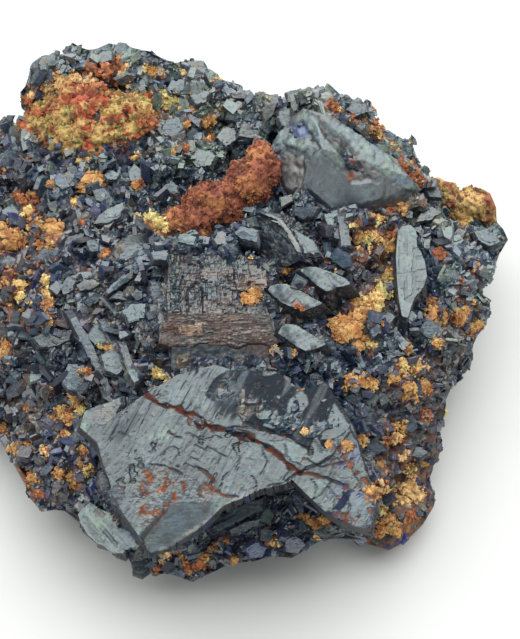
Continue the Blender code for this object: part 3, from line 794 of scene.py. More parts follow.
# Facets on the slab: height, tint and blue, then the outline. The tints are painted light and shade:
# lighter for facets that catch the light, darker for those turned from it.
SLAB_FACETS = outlined("""
-0.12 0.1 0: 236 394, 246 384, 262 377, 280 373, 304 374, 318 379, 330 386, 350 424, 345 434, 322 446,
    312 452, 290 438, 262 431, 244 424, 236 412
-0.08 0.28 0.05: 205 394, 216 378, 232 370, 262 368, 262 377, 246 384, 236 394, 224 402, 212 402
0 0.85 0: 290 377, 300 375, 306 383, 305 388, 292 386
0 0.8 0: 286 411, 290 400, 300 390, 306 395, 308 402, 303 412, 300 425, 288 421
0 0.8 0: 262 427, 272 412, 277 410, 279 420, 275 428
0 0.85 0: 320 440, 326 425, 334 403, 341 412, 350 426, 345 432, 335 438
0.08 0.75 0: 269 441, 290 440, 303 447, 309 453, 300 461, 292 461, 282 452
0.06 0.75 0: 309 450, 316 434, 321 447, 327 452, 320 460, 306 466, 300 463
0.1 0.8 0: 324 451, 328 440, 336 442, 332 454, 328 457
0.05 0.85 0: 293 487, 312 480, 328 481, 331 486, 322 497, 311 499, 300 492
0.08 0.9 0: 328 507, 337 488, 347 491, 341 509, 333 511
-0.15 0.1 0.35: 333 510, 346 490, 352 492, 341 512
0.05 0.8 0: 343 512, 351 493, 360 498, 362 510, 357 520, 348 516
0.08 0.8 0: 334 470, 344 463, 356 466, 352 478, 340 478
-0.2 0.32 0.5: 345 440, 352 448, 355 462, 346 460, 340 450
-0.2 0.32 0.8: 309 505, 320 504, 324 512, 312 517
-0.2 0.25 0.3: 318 512, 330 512, 338 518, 352 524, 346 528, 326 520""")
MOTTLED = table("""
140 466, 165 470, 181 478, 212 482, 222 490, 206 505, 180 500, 160 520, 148 540, 141 522, 131 500""")
SMOOTH_END = table("""
147 552, 141 537, 163 516, 180 500, 196 499, 202 505, 204 521, 190 531, 172 542, 158 552""")
BEVELLED = table("147 560, 141 537, 158 518, 176 500, 200 494, 214 500, 212 530, 180 560")
RIGHT_RIM = table("353 428, 360 442, 366 455, 370 472, 373 490, 376 505, 372 524, 360 528")
ARCH_RIM = table("156 549, 172 541, 190 530, 205 521, 222 507, 240 497, 255 489, 272 487")


def shards(along, across, length, width, here, seed):
    """A number for each piece of a face that is split along its grain and across it, with ragged edges."""
    row = whole((across + 0.6 * soft_noise(here, 2.0, seed)) / width)
    slip = length * hashed(row, 0, 0, seed + 1)
    column = whole((along + slip + 2.2 * soft_noise(here, 0.7, seed + 2)) / length)
    return hashed(row, column, 1, seed)


# In pixels: where the coarse grain of the upper sheet ends, a navy spot with its radius, and the columns and
# rows over which the right end begins.
UPPER_GRAIN_END = 250
NAVY_SPOT = (183, 410, 4)
RIGHT_END_COLUMNS, RIGHT_END_ROWS = (318, 340), (434, 446)


def slab_grain(here, px, py):
    """The slab's own surface: streaks along its length, shards, teeth and nicks."""
    along = px * 0.469 - py * 0.883
    across = px * 0.883 + py * 0.469
    striated = 0.55 + 0.65 * within(px, py, UPPER_SHEET, 6) * (px < UPPER_GRAIN_END)
    striated = striated + 0.5 * within(px, py, SLAB_SHADES[0][-1], 8)

    def streaks(width, length, seed):
        wavy = across + 1.2 * soft_noise(here, 3.0, 72)
        return soft_noise(on_face(wavy / width, along / length), 1.0, seed)

    wide, narrow, fine = streaks(7, 40, 73), streaks(2.2, 22, 74), streaks(1.1, 11, 75)
    tint = 0.35 + 0.30 * fractal(here, 4.0, 4, 71) + 0.12 * fractal(here, 1.1, 4, 60)
    tint = tint + 0.20 * wide + striated * (0.14 * narrow + 0.12 * fine)
    height = striated * (0.03 * wide + 0.02 * narrow + 0.02 * fine) + 0.012 * fractal(here, 0.7, 4, 76)
    # Sunk streaks, also painted darker: painted shade in them.
    deep = smoothstep(0.42, 0.75, streaks(1.9, 17, 69)) * striated
    height -= 0.08 * deep
    tint -= 0.30 * np.minimum(deep, 1)
    height += 0.18 * within(px, py, UPPER_SHEET, 0.8)
    patch, shard = shards(along, across, 30, 9, here, 45), shards(along, across, 14, 3.6, here, 46)
    tint += 0.26 * (patch - 0.5) + 0.24 * (shard - 0.5)
    height += 0.035 * patch + 0.018 * shard
    matte = 0.55 * smoothstep(0.72, 0.9, shard) * (1 - 0.6 * striated)
    level = (px * 0.26 + py * 0.97 + 3 * soft_noise(here, 2.5, 43)) / 13
    teeth = smoothstep(0.35, 0.7, streaks(1.5, 60, 42)) * smoothstep(0.45, 0.0, level - np.floor(level))
    teeth = teeth * (1 - 0.7 * striated) * smoothstep(-0.2, 0.3, soft_noise(here, 2.2, 41))
    nicks = smoothstep(0.58, 0.85, soft_noise(on_face(across / 1.7, along / 5.5), 1.0, 70))
    # Teeth and nicks are sunk a little and painted darker: painted shade in them.
    for cut, darkness in ((teeth, 0.28), (nicks, 0.24)):
        height -= 0.05 * cut
        tint -= darkness * cut
    return height, tint, matte, wide, narrow


def slab_facets(here, px, py, height, tint, matte, wide, narrow):
    """Painted shade on the darker parts, and facets with painted light and shade."""
    blue = brown = np.zeros(len(px))
    for soft, dull, outline in SLAB_SHADES:
        share = within(px, py, outline, soft) * smoothstep(-0.5, 0.35, narrow + 0.5 * wide)
        tint = tint * (1 - 0.6 * dull * share)
        matte = np.maximum(matte, dull * share)
    ragged = px + 0.9 * soft_noise(here, 0.6, 77), py + 0.9 * soft_noise(here, 0.6, 60)
    specks = smoothstep(0.45, 0.8, soft_noise(here, 0.33, 67))
    sheen = smoothstep(0.1, 0.7, wide + 0.5 * narrow)
    # Each facet's tint is painted light and shade, and on the dark facets sheen adds a painted sheen along
    # the streaks.
    for level, facet_tint, facet_blue, outline in SLAB_FACETS:
        share = within(*ragged, outline, 0.6)
        dull = facet_tint < 0.3
        height = toward(height, 0.5 * level + 0.5 * height, share) + share * dull * 0.05 * specks
        tint = toward(tint, facet_tint + 0.5 * (tint - 0.55) + 0.3 * dull * (specks + sheen), share)
        matte = toward(matte, (0.95 - 0.35 * sheen) * dull, share)
        brown = toward(brown, 0.5 * dull * specks, share)
        blue = toward(blue, facet_blue, share)
    return height, tint, matte, blue, brown


def slab_cracks(here, px, py, height, tint, matte):
    """Cracks and pits, painted darker as shade, and the rust in them."""
    rust = np.zeros(len(px))
    for half, depth, stain, line in SLAB_CRACKS:
        away = line_reach(px + soft_noise(here, 0.8, 78), py + soft_noise(here, 0.8, 79), line)
        half = 0.75 * half * (0.9 + 1.1 * soft_noise(here, 0.9, 62))
        share = smoothstep(half + 0.7, half * 0.4, away)
        stained = smoothstep(half + 1.8, half * 0.5, away)
        height = height - 0.4 * depth * share
        rust = np.maximum(rust, stain * stained * (0.75 + 0.6 * soft_noise(here, 0.6, 80)))
        # Deeper cracks are painted darker: painted shade, and the rust stain darkens them too.
        tint = tint * (1 - min(0.8, 0.3 + depth) * share) * (1 - 0.5 * stain * stained)
        matte = np.maximum(matte, 0.9 * stain * stained)
    for x, y, rx, ry, depth, stain in SLAB_PITS:
        away = np.hypot((px - x) / rx, (py - y) / ry) + 0.8 * soft_noise(here, 0.5, 81)
        share = smoothstep(1.15, 0.65, away)
        height = height - 0.6 * depth * share * (0.8 + 0.4 * soft_noise(here, 0.5, 82))
        rust = np.maximum(rust, stain * share * (0.7 + 0.5 * soft_noise(here, 0.6, 83)))
        # Pits are painted dark: painted shade.
        tint = tint * (1 - 0.85 * share)
    return height, tint, matte, rust


def slab_surface(u, v, px, py):
    """The whole face: grain, facets and cracks, then its mottled part, its two ends and its rims."""
    here = on_face(u, v)
    height, tint, matte, wide, narrow = slab_grain(here, px, py)
    height, tint, matte, blue, brown = slab_facets(here, px, py, height, tint, matte, wide, narrow)
    height, tint, matte, rust = slab_cracks(here, px, py, height, tint, matte)

    mottled = within(px, py, MOTTLED, 6)
    blotch = smoothstep(0.0, 0.45, fractal(here, 0.75, 4, 84, 0.7))
    height += mottled * (0.06 * fractal(here, 0.5, 3, 85) - 0.06 * blotch)
    rust = np.maximum(rust, mottled * blotch * (0.65 + 0.5 * soft_noise(here, 0.5, 55)))
    matte = np.maximum(matte, 0.8 * mottled * blotch)
    brown = np.maximum(brown, 0.55 * mottled * smoothstep(-0.1, 0.3, fractal(here, 1.3, 4, 47, 0.7)))
    tint = toward(tint, 0.42 + 0.3 * soft_noise(here, 0.7, 86), mottled * 0.8)

    right_end = smoothstep(*RIGHT_END_COLUMNS, px) * smoothstep(*RIGHT_END_ROWS, py)
    spots = right_end * smoothstep(0.15, 0.5, fractal(here, 0.8, 3, 87))
    navy = smoothstep(0.2, 0.6, soft_noise(here, 1.3, 88)) * right_end
    rust = np.maximum(rust, 0.75 * spots)
    matte = np.maximum(matte, 0.7 * spots)
    height -= 0.12 * spots
    tint -= 0.4 * right_end * smoothstep(0.1, 0.5, soft_noise(here, 0.9, 63))
    tint -= 0.3 * navy
    blue = np.maximum(0.5 * blue, 0.5 * near_spot(px, py, *NAVY_SPOT) + 0.35 * navy)

    smooth_end = within(px, py, SMOOTH_END, 1.2)
    height = toward(height, 0.02 * soft_noise(here, 1.0, 89), smooth_end)
    tint = toward(tint, 0.62 + 0.1 * soft_noise(here, 2.0, 64), smooth_end)
    rust = rust * (1 - smooth_end)
    matte = toward(matte, 0.25, smooth_end)
    yellow = smoothstep(2.2, 0.8, line_reach(px, py, ARCH_RIM)) * (0.6 + 0.5 * soft_noise(here, 1.0, 65))
    right_rim = smoothstep(3.2, 1.2, line_reach(px + 1.5 * soft_noise(here, 0.9, 66), py, RIGHT_RIM))
    rims = np.maximum(yellow, right_rim)
    tint = toward(tint, 1.0, 0.9 * rims)
    rust = rust * (1 - rims)
    brown = np.maximum(brown, 0.5 * yellow)
    left_end = within(px, py, BEVELLED, 3)
    fall = math.tan(math.radians(SLAB_BEVEL[1]))
    height += 0.3 * right_rim - np.maximum(0, SLAB_BEVEL[0] - v) * fall * 0.85 * left_end
    return height, {"tint": tint, "rust": rust, "blue": blue, "brown": brown, "matte": matte}


shapes = [
    relief("slab_fine", "slab_crystal", (0.3, -31.8, 27.4), (-90, 16), SLAB_OUTLINE, depth=4.2, widen=1.03,
           step=0.172, turn=-28, surface=slab_surface, finish=slab_finish, side=0.3, dull=0.7)
]


# ---- the stepped crystal

STEPPED_OUTLINE = table("""
-6.2 4.3, -3 4.1, -2.9 4.4, 1.2 4.3, 1.3 3.9, 4 4, 4.1 3.4, 5.6 3.4, 5.7 2.2, 6.9 2.1, 7 -0.6, 6.6 -0.7,
6.7 -2.6, 7.3 -4.4, 7.7 -5.6, 8.6 -6.9, 8.7 -7.8, 7.5 -8.2, 7.6 -10.4, 6.9 -12, -4.9 -12.2, -5.7 -11,
-5.6 -8.3, -7.4 -8, -7.3 -6.4, -6.5 -5.4, -6.2 -4.6, -6.4 -2""")
# Parts of the stepped face, in pixels: left, top, right, bottom, then height, tint and brown.
STEPPED_PARTS = table("""
200 244 240 254 -0.2 0.12 0.1, 180 252 200 320 -0.15 0.18 0.4, 180 261 207 268 -0.25 0.25 0.8,
200 252 207 262 0.1 0.5 0.1, 207 254 222 268 -0.05 0.45 0.3, 222 257 240 268 0.05 0.5 0.2,
203 268 222 277 0 0.4 0.7, 200 276 219 300 0.12 0.55 0.15, 222 268 243 276 0.1 0.45 0.5,
219 276 234 296 -0.1 0.3 0.3, 240 258 268 278 -0.05 0.35 0.5, 240 258 249 274 0.15 0.5 0.2,
230 279 268 291 0.25 0.3 0.9, 236 291 262 303 -0.5 0.5 0.4, 202 300 240 310 0 0.35 0.6,
171 252 180 322 0.42 0.75 0""")


ETCHED_BOX = (-6.2, 7.2, -5.0, 4.3)  # the etched part of the top, in millimetres: left, right, front and back
STAIR_TOP, LEDGE_TOP, LEDGE_WIDTH = -4.4, -8.0, 4.1
STEPPED_STRIP = table("178 323, 202 322, 203 331, 179 330")  # a pale strip at the foot's left end


def etched(u, v, height, tint, rng, count, sizes, levels, box):
    """Small sunk and raised rectangles, all square to each other and each leaning its own way."""
    longer, shorter = 1.5, 0.35
    for _ in range(count):
        cu, cv = rng.uniform(*box[:2]), rng.uniform(*box[2:])
        half_u, half_v = np.exp(rng.uniform(*np.log(sizes), 2))
        if rng.random() < 0.6:
            stretch = (shorter, longer) if rng.random() < 0.5 else (longer, shorter)
            half_u, half_v = half_u * stretch[0], half_v * stretch[1]
        level = rng.uniform(*levels)
        lean_u, lean_v = rng.normal(0, 0.28, 2)
        share = (np.abs(u - cu) < half_u) & (np.abs(v - cv) < half_v)
        height = np.where(share, height * 0.6 + level + lean_u * (u - cu) + lean_v * (v - cv), height)
        tint = np.where(share, 0.7 * tint + 0.3 * rng.uniform(0.05, 0.75), tint)
    return height, tint


# In pixels: the arched groove's middle, size, sides and foot, two rusty spots with their radii, and the
# columns over which the ledge turns brown.
ARCH_MIDDLE, ARCH_SIZE = (195, 296), (8.5, 13)
GROOVE_LEFT, GROOVE_RIGHT, GROOVE_FOOT = 186, 204, 316
STRIP_RUST, LEDGE_RUST = (171, 322, 5), (232, 317, 3)
LEDGE_BROWN = (215, 262)


def stepped_top(here, u, v, px, py):
    """The flat top: its parts, etched rectangles all over, and an arched groove painted near black as shade.
    """
    rng = np.random.default_rng(91)
    height = 0.02 * fractal(here, 0.6, 3, 92)
    tint = 0.24 + 0.2 * fractal(here, 1.5, 4, 93)
    brown = 0.2 + 0.3 * fractal(here, 2.2, 3, 94)
    x, y = px + 1.5 * soft_noise(here, 0.8, 90), py + 1.5 * soft_noise(here, 0.8, 59)
    for left, top, right, bottom, level, part_tint, part_brown in STEPPED_PARTS:
        share = (x > left) & (x < right) & (y > top) & (y < bottom)
        height = np.where(share, level + 0.4 * height, height)
        tint = np.where(share, 0.8 * part_tint + 0.6 * (tint - 0.26), tint)
        brown = np.where(share, part_brown + 0.5 * (brown - 0.35), brown)
    height, tint = etched(u, v, height, tint, rng, 180, (0.2, 1.0), (-0.08, 0.05), ETCHED_BOX)
    height, tint = etched(u, v, height, tint, rng, 380, (0.12, 0.4), (-0.10, 0.08), ETCHED_BOX)
    height += 0.05 * soft_noise(here, 0.3, 54)
    arch = np.hypot((px - ARCH_MIDDLE[0]) / ARCH_SIZE[0], np.minimum(0, py - ARCH_MIDDLE[1]) / ARCH_SIZE[1])
    groove = (arch > 0.8) & (arch < 1.02) & (px > GROOVE_LEFT) & (px < GROOVE_RIGHT) & (py < GROOVE_FOOT)
    # The groove is sunk and painted near black: painted shade in it.
    return np.where(groove, height - 0.25, height), np.where(groove, 0.03, tint), brown


def stepped_stair(here, u, v, height, tint, brown):
    """Thin sheets that end one behind the other at the front, with risers between them painted dark as shade.
    """
    ragged = 0.10 * soft_noise(here, 2.4, 95) + 0.06 * soft_noise(here, 0.35, 58)
    ragged = ragged + 0.22 * (hashed(whole(u / 0.9), 0, 0, 96) - 0.5)
    front = -4.6 - v + ragged
    pace = 0.31 * (1 + 0.25 * soft_noise(on_face(u * 0.25, front), 1.1, 57))
    sheet = whole(np.clip(np.floor(front / pace) + 1, 0, 12))
    stair = v < STAIR_TOP
    thin = hashed(sheet, whole(u / 1.7 + sheet * 0.37), 0, 97)
    lean = hashed(sheet, whole(u / 1.3 + sheet * 0.7), 0, 102) - 0.5
    inside = front / pace - np.floor(front / pace) - 0.5
    height = np.where(stair, -front / pace * 0.225 + 0.06 * (thin - 0.5) + 0.35 * inside * lean, height)
    height = np.where(stair & (thin < 0.35), height + 0.12 * np.abs(inside), height)
    height += stair * 0.05 * soft_noise(here, 0.3, 53)
    riser = (inside > 0.28 - 0.3 * (thin - 0.5)) & stair
    tint = np.where(stair, 0.10 + 0.75 * thin ** 1.5 + 0.2 * soft_noise(here, 0.4, 52), tint)
    # The risers are painted near black and dull: painted shade between the sheets.
    tint = np.where(riser, 0.02, tint)
    brown = np.where(stair, np.where(riser, 0.3, 0.9 + 0.5 * (thin - 0.5)), brown)
    return height, tint, brown, riser


def stepped_surface(u, v, px, py):
    """The top, the stair at its front, and a smooth hollow ledge below the stair."""
    here = on_face(u, v)
    height, tint, brown = stepped_top(here, u, v, px, py)
    height, tint, brown, riser = stepped_stair(here, u, v, height, tint, brown)
    strip = within(px, py, STEPPED_STRIP, 0.6)
    height += 0.2 * strip
    ledge = v < LEDGE_TOP - 0.05 + 0.35 * soft_noise(here, 1.6, 98)
    below = LEDGE_TOP - v
    hollow = -2.75 - 0.5 * np.sin(np.clip(below / LEDGE_WIDTH, 0, 1) * math.pi) - 0.12 * below
    grainy = 0.12 * soft_noise(here, 0.45, 99) + 0.09 * soft_noise(here, 0.3, 56)
    grainy = grainy + 0.15 * fractal(here, 1.6, 3, 51)
    height = np.where(ledge, hollow + 0.5 * grainy, height)
    tint = toward(np.where(ledge, 0.34 + 0.3 * soft_noise(here, 2.0, 100), tint), 1.2, strip)
    brown = toward(np.where(ledge, 0.5 * smoothstep(*LEDGE_BROWN, px), brown), 1.0, strip)
    rust = 0.7 * smoothstep(0.4, 0.75, soft_noise(here, 0.7, 101)) * (tint > 0.1)
    rust = np.maximum(rust, 0.9 * near_spot(px, py, *STRIP_RUST))
    rust = np.maximum(rust * (1 - ledge * 0.6), 0.8 * near_spot(px, py, *LEDGE_RUST))
    matte = np.where(ledge, 0.6, np.where(riser, 0.8, 0.3))
    matte = np.where((tint < 0.15) & ~ledge, 0.7, matte)
    return height, {"tint": tint, "rust": rust * 0.7, "blue": 0, "brown": brown, "matte": matte}


shapes.append(
    relief("stepped_fine", "stepped_crystal", (-2.5, -8.2, 32.0), (-75, 9), STEPPED_OUTLINE, depth=6.2,
           widen=1.06, step=0.134, turn=0, surface=stepped_surface, finish=large_finish, side=0.35)
)


# ---- the smaller table crystals


def table_surface(marks, tint, rough=0.02, grooves=0.0, groove_turn=0, grainy=0.0, streaky=0.12, matte=0.0):
    """A flat face with marks, streaked along groove_turn, or grainy all over."""

    def surface(u, v, px, py):
        here = on_face(u, v)
        height = rough * fractal(here, 0.8, 4, 111)
        c, s = math.cos(math.radians(groove_turn)), math.sin(math.radians(groove_turn))
        streak = on_face((u * c - v * s) / 7, (u * s + v * c) / 0.55)
        lines = soft_noise(streak, 1.0, 112) + 0.6 * soft_noise(streak * 2.1, 1.0, 110)
        height = height + grooves * lines
        height = height + grainy * (0.05 * soft_noise(here, 0.45, 114) + 0.06 * soft_noise(here, 0.3, 115))
        light = tint + 0.2 * fractal(here, 1.6, 4, 113) + streaky * lines
        rust = blue = np.zeros(len(u))
        ragged = px + 1.2 * soft_noise(here, 0.6, 117), py + 1.2 * soft_noise(here, 0.6, 118)
        for level, mark_tint, mark_rust, mark_blue, outline in marks:
            share = within(*ragged, outline, 0.8)
            height = toward(height, 0.25 * level + height, share)
            light, rust = toward(light, mark_tint, share), toward(rust, 0.7 * mark_rust, share)
            blue = toward(blue, mark_blue, share)
        dull = 0.5 * grainy + matte * smoothstep(-0.5, 0.5, fractal(here, 1.3, 3, 116))
        return height, {"tint": light, "rust": rust, "blue": blue, "brown": 0, "matte": dull}

    return surface


def from_pixels(pixels, centre, facing):
    """An outline on a crystal's face, from the pixels of its corners."""
    centre, normal, basis = np.array(centre) + SHIFT, facing_way(*facing), turn_to(*facing)
    return [tuple(((on_plane(x, y, centre, normal) - centre) @ basis)[:2]) for x, y in pixels]


TABLE_STEP = 0.135  # millimetres from point to point of a face
WEDGE_LOOK = {"tint": 0.5, "rough": 0.05, "grooves": 0.04, "groove_turn": -28, "matte": 0.7}


def table_crystal(name, node, centre, facing, depth, widen, corners, marks, **look):
    """A crystal from its face's corners in pixels, and the marks on it: height, tint, rust, blue, outline."""
    outline = from_pixels(table(corners), centre, facing)
    surface = table_surface(outlined(marks), **look)
    shapes.append(
        relief(name, node, centre, facing, outline, depth, widen, TABLE_STEP, 0, surface, large_finish, 0.4)
    )


table_crystal(
    "wedge_right_fine", "wedge_pair", (12.4, -7.0, 31.2), (-70, 12), 4.6, 1.6,
    """300 270, 306 267, 316 267, 325 270, 336 274, 346 279, 351 284, 343 286, 336 287, 332 290, 326 291,
318 286, 310 279""",
    """-0.35 0.1 0.2 0.1: 326 273, 331 275, 342 285, 336 286, 330 280
-0.3 0.1 0.1 0: 324 284, 328 284, 331 288, 327 290""",
    **WEDGE_LOOK,
)
table_crystal(
    "wedge_middle_fine", None, (8.6, -9.8, 31.0), (-75, 13), 4.6, 1.6,
    """268 290, 270 286, 277 284, 287 284, 293 287, 301 291, 311 297, 323 303, 316 306, 306 310, 298 308,
290 306, 281 302, 274 296""",
    """-0.4 0.15 0.9 0.3: 290 303, 296 298, 301 302, 304 309, 292 309
-0.1 0.4 0 0: 288 290, 293 293, 292 296, 288 294""",
    **WEDGE_LOOK,
)
table_crystal(
    "front_wedge_fine", "front_wedge", (9.5, -15.6, 30.0), (-80, 14), 4.6, 1.55,
    """278 333, 281 327, 286 324, 296 325, 306 331, 316 337, 326 344, 318 348, 306 351, 298 347, 288 340""",
    """-0.2 0.3 0 0.7: 286 340, 292 343, 299 348, 296 352, 286 346""",
    **WEDGE_LOOK,
)
table_crystal(
    "pointed_fine", "pointed_crystal", (5.8, -0.8, 30.6), (-135, 38), 4.2, 1.2,
    """256 220, 262 216, 272 217, 281 222, 290 232, 299 250, 300 260, 288 266, 274 266, 260 262, 257 250,
257 235""",
    """0.1 0.8 0 0: 281 230, 284 233, 277 243, 272 245
0 0.2 0.5 0: 268 250, 280 256, 276 262, 264 258""",
    tint=0.22, rough=0.1, grainy=1.0, matte=0.6, streaky=0.05,
)
table_crystal(
    "blade_fine", "blade_crystal", (23.6, -2.7, 27.4), (-80, 10), 4.4, 1.1,
    """398 231, 402 226, 411 225, 416 230, 417 246, 421 252, 425 262, 427 276, 423 288, 415 297, 411 307,
408 318, 402 316, 399 300, 397 280, 396 256""",
    """-0.2 0.3 0.1 0: 396 273, 412 272, 413 275, 397 276
-0.3 0.15 0.1 0: 413 248, 417 247, 416 290, 412 292
-0.25 0.2 0.2 0: 415 256, 426 255, 427 258, 415 259
-0.25 0.2 0.2 0: 415 281, 426 280, 425 283, 415 284
-0.2 0.3 0.1 0: 404 236, 407 236, 408 254, 405 254
-0.25 0.2 0.2 0: 403 283, 406 280, 408 300, 405 300
-0.25 0.2 0.6 0: 414 271, 430 269, 430 274, 414 274
-0.15 0.4 0.3 0: 399 253, 415 253, 415 255, 399 255
-0.15 0.5 0.2 0: 400 228, 402 228, 400 305, 397 300
-0.3 0.2 0.6 0: 404 300, 414 291, 428 286, 428 294, 414 304""",
    tint=0.62, grooves=0.05, groove_turn=90, matte=0.3, streaky=0.2,
)
table_crystal(
    "corner_fine", "corner_crystal", (-16.7, -37.6, 17.0), (-140, 20), 4.4, 1.05,
    """78 514, 83 508, 90 502, 102 510, 118 515, 129 518, 138 533, 143 542, 136 549, 124 553, 112 553,
104 546, 97 543, 88 535, 81 524""",
    """-0.15 0.45 0 0: 82 515, 88 519, 97 531, 98 542, 88 534, 81 524
-0.35 0.1 0.8 0: 92 512, 101 516, 105 514, 99 508
-0.3 0.2 0.1 0: 104 528, 118 545, 116 547, 102 531""",
    tint=1.5, rough=0.04, grooves=0.06, groove_turn=50, streaky=0.3,
)


# ---- the block crystal

# Parts of the block: softness in pixels and outline, for its front, pale band, streak, hollow,
# rough shoulder and grainy side.
BLOCK_ZONES = outlined("""
0.9: 304 150, 320 150, 336 160, 346 173, 357 181, 372 186, 386 195, 372 207, 352 212, 343 203, 330 207,
    312 200, 302 194, 300 172
0.7: 324 124, 338 124, 352 128, 372 142, 390 158, 405 175, 421 192, 411 194, 395 181, 375 169, 358 153,
    345 142
0.8: 302 111, 312 114, 322 128, 335 145, 348 163, 341 168, 326 156, 312 139, 300 122
2.5: 317 118, 332 130, 346 140, 354 151, 360 165, 374 181, 352 183, 346 165, 336 148, 323 132
3: 266 146, 280 130, 290 123, 302 121, 313 136, 322 150, 306 158, 285 157, 272 152
3: 276 158, 301 156, 304 170, 301 196, 287 189, 282 176""")
BLOCK_SEEN = table("""
276 122, 286 110, 302 108, 330 116, 352 127, 372 141, 398 164, 421 190, 408 201, 388 207, 372 214, 350 220,
330 217, 312 207, 300 200, 284 191, 272 173, 263 150, 266 135""")
# Rusty spots: pixel x and y, radius in pixels, and strength.
BLOCK_RUST = table("""
352 163 6 1, 351 176 7 0.9, 322 132 3 0.9, 348 148 4 0.7, 362 180 5 0.6, 390 207 5 0.8, 358 185 4 0.5""")
BLOCK_BLUE = table("288 126, 299 123, 309 130, 304 139, 293 135")
BLOCK_CORNER = np.array([13, 10, 28])  # the corner that is drawn out, in millimetres
# Dark seams between the block's facets, in pixels.
BLOCK_EDGES = [
    table("331 131, 345 143, 358 154, 375 170, 395 182, 410 194"),
    table("300 122, 312 139, 326 156, 341 168, 346 174"),
    table("312 114, 322 128, 335 145, 348 162"),
    table("283 160, 300 157, 305 151"),
    table("303 158, 303 172, 301 190"),
]


def make_block():
    """The block, its corner drawn out, with the parts that the picture shows on it."""
    made = remeshed("block_fine", ["block_crystal"], 0.24)
    points, normals = points_of(made), normals_of(made)
    way = facing_way(56, 77)
    beyond = np.maximum(0, (points - SHIFT - BLOCK_CORNER) @ way - 1.5)
    points = points + way * (0.36 * beyond)[:, None]
    px, py = to_pixels(points)
    outside = np.maximum(0, polygon_reach(px, py, BLOCK_SEEN)[0] * PX)
    points = kept_in(points, BLOCK_SEEN, 9)
    points = points - TO_CAMERA * np.minimum(4.0, 0.8 * outside)[:, None]
    px, py = to_pixels(points)
    seen = smoothstep(-0.1, 0.15, normals @ TO_CAMERA)
    parts = [within(px, py, outline, soft) * seen for soft, outline in BLOCK_ZONES]
    front, band, streak, hollow, rough, grainy = parts
    lines = soft_noise(on_face((px * 0.6 + py * 0.8) / 20, (px * 0.8 - py * 0.6) / 1.7), 1.0, 121)
    flakes = fractal(points, 1.2, 4, 122)
    height = 0.05 * soft_noise(points, 0.5, 118) + 0.06 * fractal(points, 0.6, 4, 123)
    height = height * (1 - 0.6 * front) - 0.1 * smoothstep(0.5, 0.8, soft_noise(points, 0.7, 119))
    height = height + (band + streak) * 0.05 * lines
    height = height + hollow * (0.35 * flakes - 0.55) + rough * (0.28 * flakes - 0.1) + grainy * 0.14 * flakes
    elsewhere = 1 - np.clip(sum(parts), 0, 1)
    height = height + elsewhere * 0.12 * flakes
    tint = 0.35 + 0.2 * flakes
    mottle = 0.25 * fractal(points, 2.2, 5, 124, 0.65)
    tints = (0.52 + mottle, 1.9 + 0.45 * lines + 0.6 * mottle, 0.8 + 0.3 * lines, 0.35 + 0.5 * flakes,
             0.65 + 0.6 * flakes, 0.42 + 0.3 * flakes)
    for part, part_tint in zip(parts, tints):
        tint = toward(tint, part_tint, part)
    for line in BLOCK_EDGES:
        seam = smoothstep(1.9, 0.7, line_reach(px + soft_noise(points, 0.8, 127), py, line)) * seen
        tint = toward(tint, 0.1, 0.85 * seam)
        height = height - 0.12 * seam
    brown = 0.45 * grainy + 0.25 * hollow + 0.2 * elsewhere
    rust = np.zeros(len(points))
    for x, y, radius, strength in BLOCK_RUST:
        rust = np.maximum(rust, strength * near_spot(px, py, x, y, radius) * seen)
    rust = np.maximum(rust, 0.5 * elsewhere * smoothstep(0.1, 0.5, soft_noise(points, 1.6, 125)))
    blue = within(px, py, BLOCK_BLUE, 2) * seen
    set_points(made, points + normals * height[:, None])
    paint_all(made, tint=tint, rust=rust, blue=0.9 * blue, brown=brown, matte=0.5 * hollow)
    dress(made, large_finish, ["block_crystal"])
    return made


shapes.append(make_block())


# ---------------------------------------------------------------- the limonite patches and the base


# The red streak over the tan patch and a red spot with its radius, in pixels.
RED_STREAK = table("92 66, 128 62, 124 80, 104 96, 86 114, 66 124, 50 108, 60 90, 78 78")

RED_SPOT = (150, 124, 12)


def red_share(points):
    """How red the tan patch is."""
    px, py = to_pixels(points)
    share = np.maximum(within(px, py, RED_STREAK, 12), near_spot(px, py, *RED_SPOT))
    return share * smoothstep(-0.35, 0.1, fractal(points, 2.0, 3, 48))


def spongy(name, node, voxel, finish, amount, seed, flat_foot=False):
    """A patch of porous earth: a remeshed CAD node with pits and holes up to amount deep."""
    made = remeshed(name, [node], voxel)
    points, normals = points_of(made), normals_of(made)
    pits = fractal(points, 2.4, 5, seed, 0.62)
    holes = -smoothstep(0.15, 0.7, soft_noise(points, 0.95, seed + 9))
    move = amount * (pits + 0.9 * holes)
    if flat_foot:
        move = move * smoothstep(0.0, 1.2, points[:, 2])
    points = points + normals * move[:, None]
    points = kept_in(points, OUTLINE)
    if flat_foot:
        points[:, 2] = np.maximum(points[:, 2], 0)
    set_points(made, points)
    # Tint follows how far the surface was pushed in: painted shade in the pits and holes.
    paint(made, "tint", np.clip(0.55 + 0.45 * move / amount, 0, 1))
    paint(made, "rust", red_share(points))
    dress(made, finish, [node])
    return made


back = spongy("limonite_back_fine", "limonite_back", 0.34, tan_earth, 0.7, 51)
ridge = spongy("limonite_ridge_fine", "limonite_ridge", 0.28, red_earth, 0.6, 52)
rim = spongy("limonite_rim_fine", "limonite_rim", 0.34, rim_earth, 0.5, 53)
matrix = spongy("matrix_fine", "matrix_base", 0.76, brown_earth, 0.55, 54, flat_foot=True)


# ---------------------------------------------------------------- the ground between the crystals

